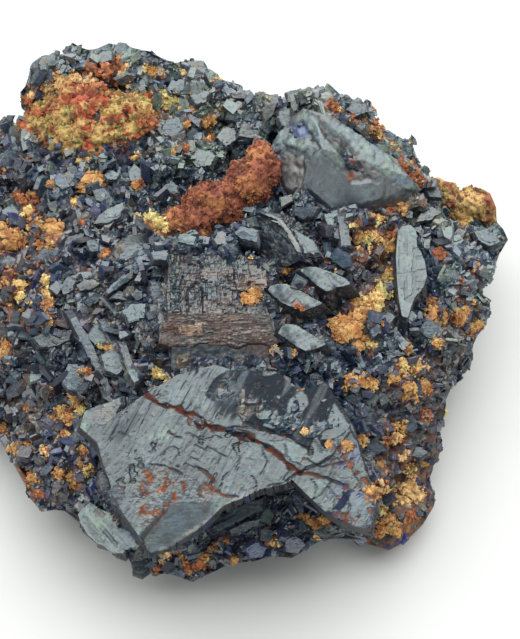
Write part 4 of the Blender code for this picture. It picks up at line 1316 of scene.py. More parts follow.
def make_ground():
    """The crust between the large crystals: small faces grown into each other, finer where they show."""
    made = remeshed("druse_ground", ["azurite_crust", *LARGE, *PATCHES], GROUND_VOXEL)
    points, normals = points_of(made), normals_of(made)
    near = distances(large_tree, points, 1.6)
    open_to_view = (normals @ TO_CAMERA > 0.05) & (near > 0.3) & (points[:, 2] > 4)
    bm = bmesh.new()
    bm.from_mesh(made.data)
    bm.verts.ensure_lookup_table()
    chosen = [e for e in bm.edges if open_to_view[e.verts[0].index] and open_to_view[e.verts[1].index]]
    bmesh.ops.subdivide_edges(bm, edges=chosen, cuts=1, use_grid_fill=True)
    bm.to_mesh(made.data)
    bm.free()

    points, normals = points_of(made), normals_of(made)
    near = distances(large_tree, points, 1.6)
    large, large_face = facets(points, 2.3, 3, 0.5)
    small, small_face = facets(points, 0.95, 23, 0.75)
    rough = large + small - 0.15 + 0.25 * fractal(points, 3.0, 3, 4)
    keep = smoothstep(3.0, 4.5, points[:, 2]) * smoothstep(0.1, 0.6, near)
    move = np.clip(rough, -1.1, 0.45) * keep - 0.75 * smoothstep(0.6, 0.25, near)
    points = points + normals * move[:, None]
    points = kept_in(points, OUTLINE, 3.6)
    points[:, 2] = np.maximum(points[:, 2], 2.3)
    set_points(made, points)
    shade(made, False)
    # Where the facets sink, the crust is painted darker and duller: painted shade in the gaps between
    # crystals.
    deep = smoothstep(0.1, -0.7, rough)
    tint = (0.15 + 0.65 * (0.4 * large_face + 0.6 * small_face) ** 1.3) * (1 - 0.8 * deep)
    blue = 0.2 * (small_face > 0.8) * large_face
    brown = 0.5 * large_face * smoothstep(-0.2, 0.5, soft_noise(points, 8.0, 22))
    shown_at = to_pixels(points)
    brown = np.maximum(brown, 0.7 * warmth(*shown_at) * small_face)
    # On the far slope the crust is painted lighter and less dull: a painted reflection of the light behind.
    far = within(*shown_at, FAR_SLOPE, 10)
    tint = tint + far * (0.5 + 0.5 * small_face)
    tint = tint + within(*shown_at, PALE_CRYSTALS, 14) * (0.2 + 0.4 * small_face)
    matte = (0.3 + 0.4 * deep) * (1 - 0.7 * far)
    paint_all(made, tint=tint, rust=rust_field(points), blue=blue, brown=brown, matte=matte)
    dress(made, small_finish, ["azurite_crust"])
    return made


large_tree = tree_from(*shapes, back, ridge, rim)
ground = make_ground()
carrier = tree_from(ground, matrix, back, ridge, rim, *shapes)


def carried(px, py):
    """The point and normal that show at a pixel, on what carries a piece there."""
    spot, normal, _, _ = carrier.ray_cast(Vector(EYE), Vector(ray_through(px, py)))
    return (None, None) if spot is None else (np.array(spot), np.array(normal))


# ---------------------------------------------------------------- middle-sized crystals, each in its place

# Where the face looks (azimuth, tilt), tint and how far it stands up, then its corners in pixels.
PLATES = outlined("""
# on the far slope
-95 16 0.8 0.45: 190 160, 196 150, 208 148, 216 156, 210 166, 196 167
-85 14 0.85 0.45: 216 138, 224 126, 236 128, 236 140, 226 147
-90 16 0.8 0.45: 238 136, 242 124, 254 121, 260 130, 252 138
-80 20 0.8 0.45: 160 134, 166 120, 178 117, 184 128, 176 138
-100 10 0.8 0.4: 183 72, 188 60, 202 60, 207 69, 198 75
-90 12 0.7 0.4: 167 88, 172 80, 184 80, 186 90, 176 93
-90 10 0.75 0.4: 112 54, 118 42, 126 43, 129 54, 120 60
-80 12 0.7 0.4: 94 60, 100 52, 112 51, 112 60, 102 63
-100 14 0.75 0.4: 38 64, 42 56, 54 52, 56 62, 46 68
-80 14 0.75 0.4: 128 88, 134 74, 146 72, 150 84, 140 92
-90 14 0.75 0.45: 206 112, 212 100, 226 100, 228 112, 216 118
-90 14 0.8 0.45: 190 96, 198 88, 210 92, 206 102, 196 104
# left of the stepped crystal
-100 14 0.9 0.9: 93 224, 99 215, 109 208, 122 202, 125 208, 120 217, 110 222
-60 20 0.7 0.6: 122 203, 130 206, 135 214, 131 217, 127 213, 124 208
-120 30 0.5 0.5: 118 224, 124 211, 127 216, 123 229
-95 10 0.95 0.9: 160 194, 163 186, 171 180, 178 186, 177 196
-90 14 1 0.9: 87 241, 94 239, 99 245, 98 251, 92 252, 88 247
-110 22 0.45 0.7: 60 246, 66 237, 76 234, 85 233, 81 243, 70 250
-70 20 0.75 0.9: 113 254, 119 243, 128 236, 140 233, 147 238, 149 246, 142 256, 130 262, 118 262
-75 14 0.85 1.3: 119 257, 127 247, 138 243, 144 248, 136 256, 125 261
-90 12 1 0.8: 124 268, 138 261, 149 252, 155 243, 161 246, 153 258, 141 266, 128 270
-95 14 1 1: 105 292, 112 284, 121 277, 132 272, 136 275, 128 282, 117 288, 108 294
-80 24 0.55 0.7: 113 298, 120 291, 140 294, 151 299, 132 302
-90 20 0.6 0.8: 131 294, 136 289, 142 291, 143 298, 137 301
-100 18 0.7 0.8: 76 285, 84 280, 93 279, 100 283, 92 289, 80 291
-120 22 0.7 0.8: 60 288, 68 276, 76 281, 72 291, 64 295
-80 16 0.85 0.8: 70 276, 80 272, 90 271, 94 276, 84 281, 74 281
-95 12 0.8 0.8: 122 311, 133 304, 146 303, 145 318, 129 323
-80 16 0.65 0.8: 150 305, 157 304, 157 331, 151 330
-85 18 0.75 1: 158 304, 164 305, 164 329, 159 331
-80 20 0.35 0.7: 152 262, 168 264, 168 279, 153 276
-70 22 0.4 0.6: 150 281, 168 282, 168 302, 152 300
-85 16 0.5 1: 151 252, 168 250, 167 260, 154 260
-100 24 0.6 0.6: 33 260, 44 248, 54 252, 49 264, 38 268
-95 20 0.6 0.7: 1 262, 8 255, 17 260, 10 270
-90 16 0.75 0.7: 2 210, 12 204, 19 213, 16 226, 5 225
-100 20 0.6 0.7: 57 178, 68 171, 80 176, 74 186, 62 187
-90 12 1 0.8: 104 175, 110 169, 120 174, 116 179, 108 180
-90 16 0.75 0.7: 128 172, 134 163, 141 170, 149 172, 139 181, 130 181
-110 24 0.45 0.6: 92 190, 104 188, 112 196, 106 204, 96 200
# laths running down to the slab
-60 22 0.35 0.9: 70 319, 76 317, 88 336, 99 358, 111 388, 116 402, 109 400, 99 378, 84 348
-80 20 0.5 0.8: 99 321, 105 320, 113 334, 119 346, 112 347, 105 336
-90 14 0.8 1: 87 336, 96 324, 103 322, 109 333, 113 345, 104 342, 95 345
-90 12 0.9 1: 101 356, 112 348, 122 356, 125 369, 117 375, 106 371
-75 18 0.4 0.8: 119 344, 127 346, 131 358, 136 374, 141 386, 133 382, 125 364
-90 12 0.8 1.3: 128 371, 135 369, 139 380, 134 384
-80 22 0.55 0.8: 33 338, 44 331, 58 329, 72 331, 70 340, 56 346, 40 347
-110 20 0.65 0.8: 62 382, 72 368, 80 372, 82 380, 76 391, 67 389
-90 16 0.7 0.8: 98 386, 111 387, 119 398, 113 404, 104 399
-90 17 0.42 0: 83 420, 91 410, 103 404, 120 398, 121 404, 112 420, 100 429, 90 426
-90 14 1 0.9: 75 437, 80 434, 88 438, 96 447, 92 450, 82 443
-80 26 0.4 0.7: 100 474, 110 470, 114 480, 112 492, 104 494, 98 484
-90 20 0.3 0: 115 484, 124 490, 128 506, 122 512, 112 502, 108 492
-90 14 0.95 0.8: 131 557, 137 551, 145 551, 149 558, 148 568, 141 574, 134 571
# round the row of cubes behind the stepped crystal
-78 10 0.85 0.25: 157 234, 171 233, 170 242, 156 242
-75 10 0.9 0.35: 178 234, 185 233, 196 237, 194 245, 178 242
-75 12 0.45 0.25: 197 236, 210 237, 209 244, 197 244
-75 12 0.3 0.2: 214 240, 217 232, 226 233, 226 243, 217 245
-80 8 0.95 0.4: 232 231, 241 226, 259 230, 257 242, 243 239
-80 10 0.85 0.4: 236 213, 248 213, 249 222, 237 222
-85 8 0.95 0.4: 241 206, 244 204, 256 208, 255 213, 242 211
# between the pointed crystal, the block and the wedges
-85 10 0.85 0.5: 281 221, 288 226, 300 233, 313 240, 320 253, 303 254, 298 243, 290 231
-80 12 0.8 0.6: 262 213, 270 214, 281 219, 290 230, 298 243, 302 254, 296 250, 287 232, 277 219
-80 10 0.9 0.6: 324 213, 338 213, 337 225, 327 225
-60 44 0.15 0.4: 325 227, 337 226, 336 237, 326 237
-70 18 0.55 0.6: 338 217, 347 215, 351 246, 341 247
-80 12 0.75 0.4: 331 255, 349 254, 347 264, 332 264
-80 20 0.45 0.4: 352 252, 363 250, 372 258, 360 264
-100 30 0.3 0.5: 294 206, 304 203, 318 208, 314 216, 302 219, 294 214
-90 20 0.75 0.4: 278 117, 281 111, 290 109, 303 112, 300 121, 290 125, 282 126
-95 14 0.75 0.9: 313 96, 326 98, 334 107, 322 110, 312 105
-90 14 0.85 0.8: 346 110, 352 103, 366 104, 368 112, 356 116
-110 20 0.7 0.8: 286 92, 300 88, 308 96, 300 104, 288 102
-90 14 0.95 0.9: 395 152, 402 149, 408 156, 402 162
# the right shoulder
-90 20 0.5 0.7: 414 229, 421 225, 427 238, 421 236
-88 12 1 0.7: 424 239, 430 239, 430 248, 424 248
-90 14 0.8 0.7: 431 251, 445 245, 459 247, 462 260, 450 266, 440 258
-100 30 0.3 0.6: 432 241, 442 236, 452 233, 451 243, 438 246
-90 20 0.6 0.7: 452 236, 459 228, 466 231, 462 240
-90 16 0.75 0.8: 416 222, 421 213, 434 208, 442 212, 430 220
-90 18 0.6 0.6: 378 320, 388 312, 396 316, 390 324, 381 326
-90 20 0.5 0.6: 370 330, 378 324, 382 332, 372 338
-90 14 0.85 0.7: 404 318, 412 310, 418 316, 410 324
-100 20 0.5 0.6: 388 330, 396 326, 402 336, 394 342
-80 22 0.55 0.6: 380 352, 396 350, 406 354, 392 358
-90 12 1 0.6: 334 376, 343 376, 344 382, 336 381
-90 16 0.85 0.6: 352 352, 360 352, 366 366, 360 370
-95 24 0.55 0.6: 420 325, 430 320, 444 330, 436 340, 424 336
-90 22 0.6 0.6: 444 268, 456 270, 458 282, 446 280
-90 16 0.75 0.8: 474 232, 484 229, 494 234, 500 242, 490 246, 478 240
-90 16 0.7 0.6: 408 449, 418 446, 428 452, 420 458, 410 456
-100 26 0.4 0.6: 352 420, 360 411, 372 414, 372 424, 360 428
-90 34 0.2 0.6: 364 444, 376 442, 386 450, 374 455
# in the hollow under the slab's arch
-80 20 0.9 0.8: 213 527, 240 512, 262 505, 263 510, 242 519, 218 532
-95 26 0.65 0.7: 200 533, 210 521, 226 512, 244 504, 262 498, 262 504, 244 513, 226 521, 210 531
-90 30 0.4 0.6: 212 545, 226 532, 246 522, 262 518, 258 526, 240 534, 222 545
-90 20 0.5 0.6: 312 531, 322 528, 332 533, 324 538""")
BLUE_PLATES = outlined("""
-60 30 0.3 0.6: 428 250, 434 246, 438 252, 432 258
-50 40 0.3 0.6: 470 282, 480 276, 486 284, 478 292
-80 36 0.2 0.6: 376 426, 388 420, 394 430, 382 436
-100 34 0.2 0.6: 58 320, 66 314, 72 322, 64 330
-80 36 0.2 0.6: 246 548, 256 542, 268 548, 262 558, 250 558
-80 36 0.2 0.6: 284 540, 296 536, 306 544, 298 554, 286 552
-100 34 0.3 0.6: 60 440, 72 436, 80 444, 70 452
-80 40 0.3 0.6: 352 536, 366 530, 372 540, 360 546""")

# The sheets of a crystal end one under the other: depth below the face in millimetres, and reach.
SHEET_STEPS = table("""
0 0.95, 0.06 1, 0.3 1.01, 0.31 1.06, 0.58 1.07, 0.59 1.13, 1.1 1.16, 1.11 1.22, 2.2 1.3""")


THIN_STEPS = ((0.0, 0.96), (0.3, 1.0))


def smoothed(corners, rng):
    """More corners along each side, a little off it."""
    more = []
    for (x0, y0), (x1, y1) in closed(corners):
        parts = max(2, int(math.hypot(x1 - x0, y1 - y0) / 2.2))
        for part in range(parts):
            slip_x, slip_y = rng.normal(0, 0.45 if part else 0.1, 2)
            more.append((x0 + (x1 - x0) * part / parts + slip_x, y0 + (y1 - y0) * part / parts + slip_y))
    return more


def part_of(corners, rng):
    """A smaller outline inside an outline, off to one side."""
    corners = np.array(corners)
    anchor = corners[rng.integers(len(corners))] * 0.7 + corners.mean(0) * 0.3
    return anchor + (corners - anchor) * rng.uniform(0.45, 0.75)


def area_sign(outline):
    return sum(x0 * y1 - x1 * y0 for (x0, y0), (x1, y1) in closed(outline))


def sides(start, count, rings):
    """The faces between rings of count points each, which follow one another from start."""
    faces = []
    for ring in range(rings - 1):
        a = start + ring * count
        for i in range(count):
            j = (i + 1) % count
            faces.append((a + j, a + i, a + count + i, a + count + j))
    return faces


def place_plates(name, rows, finish, blue, seed):
    """Sets each plate on what carries it, with two thinner sheets on parts of it."""
    rng = np.random.default_rng(seed)
    verts, faces, paints = [], [], []

    def add_sheet(face, normal, steps, tint, film, dull):
        centre, start, count = face.mean(0), len(verts), len(face)
        for depth, reach in steps:
            wave = 1 + rng.normal(0, 0.015, (count, 1))
            verts.extend(centre + (face - centre) * reach * wave - normal * depth)
            top = depth < 0.1
            look = (tint, film, dull) if top else (0.6 * tint, 0.1, 0.6)
            rust = np.clip(rng.normal(0.05 if top else 0.3, 0.15, count), 0, 1)
            paints.extend((*look, amount) for amount in rust)
        faces.append(range(start, start + count))
        faces.extend(sides(start, count, len(steps)))
        faces.append(range(len(verts) - 1, len(verts) - count - 1, -1))

    def sheet_face(corners, point, normal):
        return np.array([on_plane(x, y, point, normal) for x, y in smoothed(corners, rng)])

    for azimuth, tilt, tint, rise, corners in rows:
        tint = (0.62 + 0.2 * rng.random()) * tint
        spot, _ = carried(*np.mean(corners, 0))
        if area_sign(corners) > 0:
            corners = corners[::-1]
        normal = facing_way(azimuth, tilt)
        top = spot + normal * rise
        face = sheet_face(corners, top, normal)
        film, dull = 0.45 * rng.random() ** 3, 0.5 * rng.random()
        add_sheet(face, normal, SHEET_STEPS, tint, film, dull)
        for layer in (1, 2):
            face = sheet_face(part_of(corners, rng).tolist(), top + normal * 0.05 * layer, normal)
            add_sheet(face, normal, THIN_STEPS, tint * rng.uniform(0.65, 1.1), film, dull * rng.uniform(0, 2))
    made = mesh_from(name, verts, np.concatenate(faces), [len(face) for face in faces])
    tint, brown, matte, rust = np.array(paints).T
    paint_all(made, tint=tint, rust=rust, brown=brown, matte=matte, blue=blue)
    dress(made, finish)


place_plates("set_plates", PLATES, plate_finish, 0.0, 131)
place_plates("blue_plates", BLUE_PLATES, small_finish, 0.45, 132)


# ---------------------------------------------------------------- small crystals

BLADE = table("-1 -0.45, -0.7 0.6, 0.45 1, 1 0.25, 0.65 -0.7, -0.3 -1")
CHISEL = table("-1 -1, -1 1, 0.35 1, 1 0.1, 0.45 -1")
SHEET = table("-1 -0.8, -0.75 1, 1 0.8, 0.8 -1")


def repeated(faces, count, per):
    """The corners of count copies of some faces, for meshes of per points each, in one row."""
    return (np.concatenate(faces)[None] + np.arange(count)[:, None] * per).ravel()


def crystal_batch(name, outline, levels, centres, turns, sizes, paints, rng):
    """Many tabular crystals in one mesh. sizes holds half length, half width and half thickness."""
    outline = outline if area_sign(outline) < 0 else outline[::-1]
    count, corners = len(centres), len(outline)
    per = len(levels) * corners
    plan = np.array(outline)[None] + rng.normal(0, 0.17, (count, corners, 2))
    rings = [np.dstack([plan * share, np.full((count, corners), level)]) for level, share in levels]
    local = np.concatenate(rings, 1) * sizes[:, None, :]
    verts = np.einsum("nij,nkj->nki", turns, local) + centres[:, None, :]
    faces = [range(corners - 1, -1, -1)]
    for a in range(corners):
        b = (a + 1) % corners
        faces.append((a, b, corners + b, corners + a))
    loops, face_sizes = repeated(faces, count, per), [len(face) for face in faces] * count
    made = mesh_from(name, verts.reshape(-1, 3), loops, face_sizes)
    paint_all(made, **{key: np.repeat(value, per) for key, value in paints.items()})
    dress(made, small_finish)


def frames_from(normals, spins):
    """Rotation matrices whose third column is the normal, spun about it."""
    n = normals / np.linalg.norm(normals, axis=1, keepdims=True)
    helper = np.where(np.abs(n[:, 2:3]) < 0.9, np.array([[0, 0, 1.0]]), np.array([[1.0, 0, 0]]))
    a = np.cross(helper, n)
    a /= np.linalg.norm(a, axis=1, keepdims=True)
    b = np.cross(n, a)
    c, s = np.cos(spins)[:, None], np.sin(spins)[:, None]
    return np.stack([a * c + b * s, b * c - a * s, n], axis=2)


def sample_surface(obj, count, rng, allowed):
    """Random points on a mesh's faces, with normals. allowed takes face centres and gives a weight."""
    mesh = obj.data
    mesh.calc_loop_triangles()
    tris = np.empty(len(mesh.loop_triangles) * 3, np.int32)
    mesh.loop_triangles.foreach_get("vertices", tris)
    corners = points_of(obj)[tris.reshape(-1, 3)]
    cross = np.cross(corners[:, 1] - corners[:, 0], corners[:, 2] - corners[:, 0])
    area = np.linalg.norm(cross, axis=1) / 2
    normal = cross / np.maximum(area[:, None] * 2, 1e-12)
    weight = area * allowed(corners.mean(1), normal)
    chosen = rng.choice(len(area), count, p=weight / weight.sum())
    u, v = np.sqrt(rng.random(count)), rng.random(count)
    bary = np.stack([1 - u, u * (1 - v), u * v], 1)
    return (corners[chosen] * bary[:, :, None]).sum(1), normal[chosen]


def spread_out(spots, spacing):
    """Keeps one point in each cell, so that none crowd."""
    cells = np.floor(spots / spacing).astype(np.int64)
    _, first = np.unique(cells, axis=0, return_index=True)
    return np.sort(first)


# Where crystals grow over the lower edge of the tan patch.
BACK_EDGE = table("10 128, 40 140, 70 146, 105 147, 140 140, 156 126, 175 120, 178 165, 100 180, 10 170")
# The brown lobe on the right, where crystals grow on the base.
LOBE_PIXELS = table("345 430, 360 372, 420 360, 460 372, 460 520, 400 570, 340 545")


# In pixels: the middle and reach of the coarse crystals left of the middle, the rows over which the crystals
# turn to the light behind, grow coarser and are painted lighter as a painted reflection of it, and where the
# blue ones are: the right edge, the lobe and the foot of the left edge.
COARSE_MIDDLE, COARSE_REACH = (110, 300), (70, 110)
TURNING_ROWS, COARSER_ROWS, LIGHTER_ROWS = (210, 130), (210, 120), (190, 130)
RIGHT_EDGE = (440, 470)
LOBE_COLUMNS, LOBE_ROWS = (340, 380), (370, 420)
LEFT_COLUMNS, LEFT_ROWS = (110, 60), (400, 440)


def inside(tree, points):
    """Which points are behind the nearest face."""
    found = np.zeros(len(points), bool)
    for i, p in enumerate(points):
        spot, normal, _, _ = tree.find_nearest(Vector(p), 4.0)
        found[i] = spot is not None and (Vector(p) - spot).dot(normal) < 0
    return found


def in_front(tree, points):
    """Which points stand before a large crystal's face, or just inside it."""
    found = np.zeros(len(points), bool)
    for i, p in enumerate(points):
        way = p - EYE
        far = np.linalg.norm(way)
        hit = tree.ray_cast(Vector(EYE), Vector(way / far), far + 2.5)
        found[i] = hit[3] is not None and hit[3] > far - 0.3
    return found


def crystal_spots(crust, zone, crowd, spacing, clear_of, rng):
    """Where clusters grow, with normals and pixels: spread out, and clear of what stands there."""

    def allowed(centres, normals):
        weight = smoothstep(3.0, 5.5, centres[:, 2]) * (0.25 + 0.75 * smoothstep(-0.6, 0.1, normals[:, 2]))
        return weight * within(*to_pixels(centres), zone, 3) if zone else weight

    spots, normals = sample_surface(crust, crowd, rng, allowed)
    first = spread_out(spots, spacing)
    spots, normals = spots[first], normals[first]
    px, py = to_pixels(spots)
    keep = ~inside(clear_of, spots)
    for *_, corners in PLATES + BLUE_PLATES:
        keep &= polygon_reach(px, py, corners)[0] > -1.5
    for x, y, radius, _ in lumps:
        keep &= np.hypot(px - x, py - y) > 0.7 * radius
    return [values[keep] for values in (spots, normals, px, py)]


def crystal_paints(centres, px, py, rng):
    """What each small crystal looks like, and which ones give way to brown earth."""
    count = len(centres)
    # Toward the back rows the crystals are painted lighter: a painted reflection of the light behind.
    tint = 0.05 + 0.95 * rng.random(count) ** (1.4 - 0.5 * smoothstep(*LIGHTER_ROWS, py))
    patchy = smoothstep(-0.3, 0.4, soft_noise(centres, 8.0, 22))
    brown = 0.55 * rng.random(count) ** 2.5 * (0.3 + 0.7 * patchy)
    matte = 0.75 * rng.random(count) ** 1.6
    warm = warmth(px, py)
    # pale holds the pale crystals of the right shoulder and, on the far slope, a painted reflection of the
    # light behind.
    pale = np.maximum(within(px, py, PALE_CRYSTALS, 14), 0.9 * within(px, py, FAR_SLOPE, 10))
    brown = np.maximum(brown, 0.4 * warm * rng.random(count) ** 1.5)
    matte = np.maximum(matte, 0.8 * warm * rng.random(count)) * (1 - 0.8 * pale)
    tint = np.clip(tint * (1 - 0.2 * warm) + 0.8 * pale, 0, 1.4)
    stays = rng.random(count) > 0.35 * warm
    rust = np.clip(0.6 * rust_field(centres) * rng.random(count) ** 1.7 + 0.12 * rng.random(count), 0, 1)
    lobe = smoothstep(*LOBE_COLUMNS, px) * smoothstep(*LOBE_ROWS, py)
    left_foot = smoothstep(*LEFT_COLUMNS, px) * smoothstep(*LEFT_ROWS, py)
    edge = smoothstep(*RIGHT_EDGE, px) + lobe + left_foot
    blue = 0.9 * (rng.random(count) < 0.05 + 0.2 * edge) * rng.random(count)
    blue = np.maximum(blue, 0.2 * (rng.random(count) < 0.35))
    return {"tint": tint, "rust": rust, "blue": blue, "brown": brown, "matte": matte}, stays


def scatter_crystals(label, spacing, per_seed, half_range, top, seed, crowd, crust, zone=(), clear_of=None):
    """Clusters of crystals all over the crust, most of them stacked like leaves of a book."""
    rng = np.random.default_rng(seed)
    clear_of = clear_of or large_tree
    spots, normals, px, py = crystal_spots(crust, zone, crowd, spacing, clear_of, rng)
    off_x, off_y = (px - COARSE_MIDDLE[0]) / COARSE_REACH[0], (py - COARSE_MIDDLE[1]) / COARSE_REACH[1]
    centre_left = off_x**2 + off_y**2
    coarse = 0.85 + 0.3 * soft_noise(spots, 9.0, 21) + 0.35 * np.exp(-centre_left)
    coarse = coarse + 0.35 * smoothstep(*COARSER_ROWS, py)
    outer = smoothstep(0.35, 0.0, normals @ TO_CAMERA)
    coarse *= 1 - 0.3 * outer
    lean = rng.normal(0, 1, (len(spots), 3)) * (0.55 - 0.25 * outer)[:, None]
    behind = np.maximum(0.6 * smoothstep(*TURNING_ROWS, py), within(px, py, FAR_SLOPE, 10))
    facing = normals + lean + np.array([0, -0.15, 0.35]) + behind[:, None] * np.array([0, -0.4, 0.9])

    group = np.repeat(np.arange(len(spots)), per_seed)
    order = np.tile(np.arange(per_seed), len(spots)) - (per_seed - 1) / 2
    count = len(group)
    stacked = (rng.random(len(spots)) < 0.65)[group]
    wild = rng.normal(0, 1, (count, 3)) * (np.where(stacked, 0.07, 0.5) * (1 - 0.7 * outer[group]))[:, None]
    spins = (rng.random(len(spots)) * 2 * np.pi)[group] + rng.normal(0, 0.2, count)
    half = (rng.uniform(*half_range, len(spots)) * coarse)[group] * rng.uniform(0.75, 1.15, count)
    half *= np.where(rng.random(count) < 0.06, 1.5, 1.0)
    width = half * rng.uniform(0.4, 0.85, count)
    thick = half * rng.uniform(0.10, 0.30, count)
    turns = frames_from(facing[group] + wild, spins)
    aside = rng.normal(0, 1, (count, 3)) * np.where(stacked, 0.28, 0.6)[:, None] * half[:, None]
    centres = spots[group] + aside + turns[:, :, 2] * (order * thick * 2.0 * stacked)[:, None]
    centres += normals[group] * (half * rng.uniform(-0.35, 0.1, count))[:, None]
    gap = distances(clear_of, centres, 3.0)
    gap[in_front(clear_of, centres)] = 0
    half = np.minimum(half, 0.25 + 0.9 * gap)
    sizes = np.stack([half, np.minimum(width, half), thick], 1)

    px, py = to_pixels(centres)
    runs_out = (px < CRYSTALS_RUN_OUT[0]) & (py < CRYSTALS_RUN_OUT[1])
    keep = (gap > 0.55 * half) & ((polygon_reach(px, py, OUTLINE)[0] < -0.6 * half / PX) | runs_out)
    paints, stays = crystal_paints(centres, px, py, rng)
    parts = np.array_split(rng.permutation(np.flatnonzero(keep & stays)), 3)
    for number, (outline, part) in enumerate(zip((BLADE, CHISEL, SHEET), parts)):
        looks = {key: value[part] for key, value in paints.items()}
        levels = ((1.0, top), (-1.0, 1.0))
        name = f"{label}_{number}"
        crystal_batch(name, outline, levels, centres[part], turns[part], sizes[part], looks, rng)


scatter_crystals("druse_medium", 2.3, 3, (0.7, 1.4), 0.84, 31, 12000, ground)
scatter_crystals("druse_fine", 1.4, 2, (0.34, 0.8), 0.9, 32, 22000, ground)
scatter_crystals("lobe_medium", 2.4, 3, (0.7, 1.3), 0.84, 33, 500, matrix, LOBE_PIXELS)
scatter_crystals("lobe_fine", 1.2, 3, (0.34, 0.8), 0.9, 34, 2000, matrix, LOBE_PIXELS)
other_tree = tree_from(*shapes, ridge, rim)
scatter_crystals("edge_fine", 1.5, 3, (0.5, 1.0), 0.9, 35, 900, back, BACK_EDGE, other_tree)


# ---------------------------------------------------------------- lumps and grains of limonite


def icosphere(divisions):
    """A round ball's points and triangles."""
    bm = bmesh.new()
    bmesh.ops.create_icosphere(bm, subdivisions=divisions, radius=1)
    verts = np.array([v.co[:] for v in bm.verts])
    faces = np.array([[v.index for v in f.verts] for f in bm.faces])
    bm.free()
    return verts, faces


SLOTS = {"O": "limonite_tan", "Y": "limonite_tan", "T": "limonite_tan", "R": "limonite_red"}
OCTAHEDRON = np.array([(1, 0, 0), (0, 1, 0), (-1, 0, 0), (0, -1, 0), (0, 0, 1), (0, 0, -1)], float)
OCTAHEDRON_FACES = [(a, (a + 1) % 4, 4) for a in range(4)] + [((a + 1) % 4, a, 5) for a in range(4)]


def loose_grains(spots, sizes, longest, rng):
    """An angular grain at each spot, in one array of points."""
    count = len(spots)
    bent = OCTAHEDRON[None] * (1 + rng.normal(0, 0.3, (count, 6, 1)))
    bent = bent * rng.uniform(0.6, longest, (count, 1, 3))
    return (bent * sizes[:, None, None] + spots[:, None, :]).reshape(-1, 3)


def lump_batch(name, slot, centres, normals, radii, finish, seed, grains):
    """Crumbly lumps in one mesh: rugged cores, each covered with loose angular grains."""
    rng = np.random.default_rng(seed)
    core, core_faces = icosphere(1)
    count = len(centres)
    turns = frames_from(normals, rng.random(count) * 7)
    shape = [rng.uniform(*limits, count) for limits in ((0.8, 1.4), (0.6, 1.1), (0.45, 0.75))]
    size = np.stack(shape, 1) * radii[:, None]
    placed = np.einsum("nij,nkj->nki", turns, core[None] * size[:, None, :])
    rough = fractal((placed + centres[:, None, :]).reshape(-1, 3), 0.9, 4, seed, 0.62).reshape(count, -1, 1)
    cores = placed * (0.9 + 0.45 * rough) + centres[:, None, :]

    total = count * grains
    owner = np.repeat(np.arange(count), grains)
    way = rng.normal(0, 1, (total, 3))
    way[:, 2] = np.abs(way[:, 2]) - 0.3
    way /= np.linalg.norm(way, axis=1, keepdims=True)
    out = way * size[owner] * rng.uniform(0.75, 1.2, (total, 1))
    spots = centres[owner] + np.einsum("nij,nj->ni", turns[owner], out)
    grain = rng.uniform(0.10, 0.32, total) * np.sqrt(radii[owner] / 0.6)

    verts = np.concatenate([cores.reshape(-1, 3), loose_grains(spots, grain, 1.4, rng)])
    core_loops = repeated(core_faces, count, len(core))
    grain_loops = repeated(OCTAHEDRON_FACES, total, 6) + count * len(core)
    triangles = count * len(core_faces) + total * 8
    made = mesh_from(name, verts, np.concatenate([core_loops, grain_loops]), np.full(triangles, 3))
    # The cores are painted darker where they sink: painted shade; the grains' tints are random.
    shades = [np.clip(0.3 + 0.5 * rough.ravel(), 0, 1), np.repeat(rng.uniform(0.35, 1.0, total), 6)]
    paint(made, "tint", np.concatenate(shades))
    dress(made, finish)


def set_lumps():
    """The lumps that the picture shows, three to each place in the list."""
    rng = np.random.default_rng(141)
    spots = {kind: [] for kind in EARTHS}
    for x, y, radius, kind in lumps:
        for _ in range(3):
            size = radius * rng.uniform(0.5, 0.95)
            angle, off = rng.random() * 7, radius * rng.uniform(0.2, 0.8)
            spot, normal = carried(x + off * math.cos(angle), y + off * math.sin(angle))
            if spot is not None and polygon_reach(*to_pixels(spot[None]), OUTLINE)[0][0] < -0.8 * size:
                spots[kind].append((spot, normal + TO_CAMERA, size * PX))
    for kind, rows in spots.items():
        centres, normals, radii = (np.array(column) for column in zip(*rows))
        normals = normals / np.linalg.norm(normals, axis=1, keepdims=True)
        centres = centres + normals * 0.1 * radii[:, None]
        lump_batch("lumps_" + kind, SLOTS[kind], centres, normals, radii * 1.15, EARTHS[kind], 142, 16)


def scatter_lumps():
    """Small lumps wherever the crust is rusty: orange, red, tan and yellow ones in broad patches."""
    rng = np.random.default_rng(41)

    def allowed(centres, normals):
        weight = smoothstep(0.3, 0.9, rust_field(centres)) * smoothstep(2.5, 4, centres[:, 2])
        return weight * smoothstep(-0.7, 0, normals[:, 2])

    spots, normals = sample_surface(ground, 900, rng, allowed)
    radii = rng.uniform(0.2, 0.5, len(spots))
    clear = ~inside(large_tree, spots) & ~in_front(large_tree, spots)
    clear &= distances(large_tree, spots, 2.0) > radii
    clear &= polygon_reach(*to_pixels(spots), OUTLINE)[0] < -1.2 * radii / PX
    spots, normals, radii = spots[clear], normals[clear], radii[clear]
    spots = spots + normals * rng.uniform(0.1, 0.5, len(spots))[:, None]
    level = rng.random(len(spots)) + 0.5 * soft_noise(spots, 6.0, 44)
    for kind, low, high in (("O", -9, 0.35), ("R", 0.35, 0.8), ("T", 0.8, 1.0), ("Y", 1.0, 9)):
        part = (level >= low) & (level < high)
        looks = EARTHS[kind], 43, 7
        lump_batch("specks_" + kind, SLOTS[kind], spots[part], normals[part], radii[part], *looks)


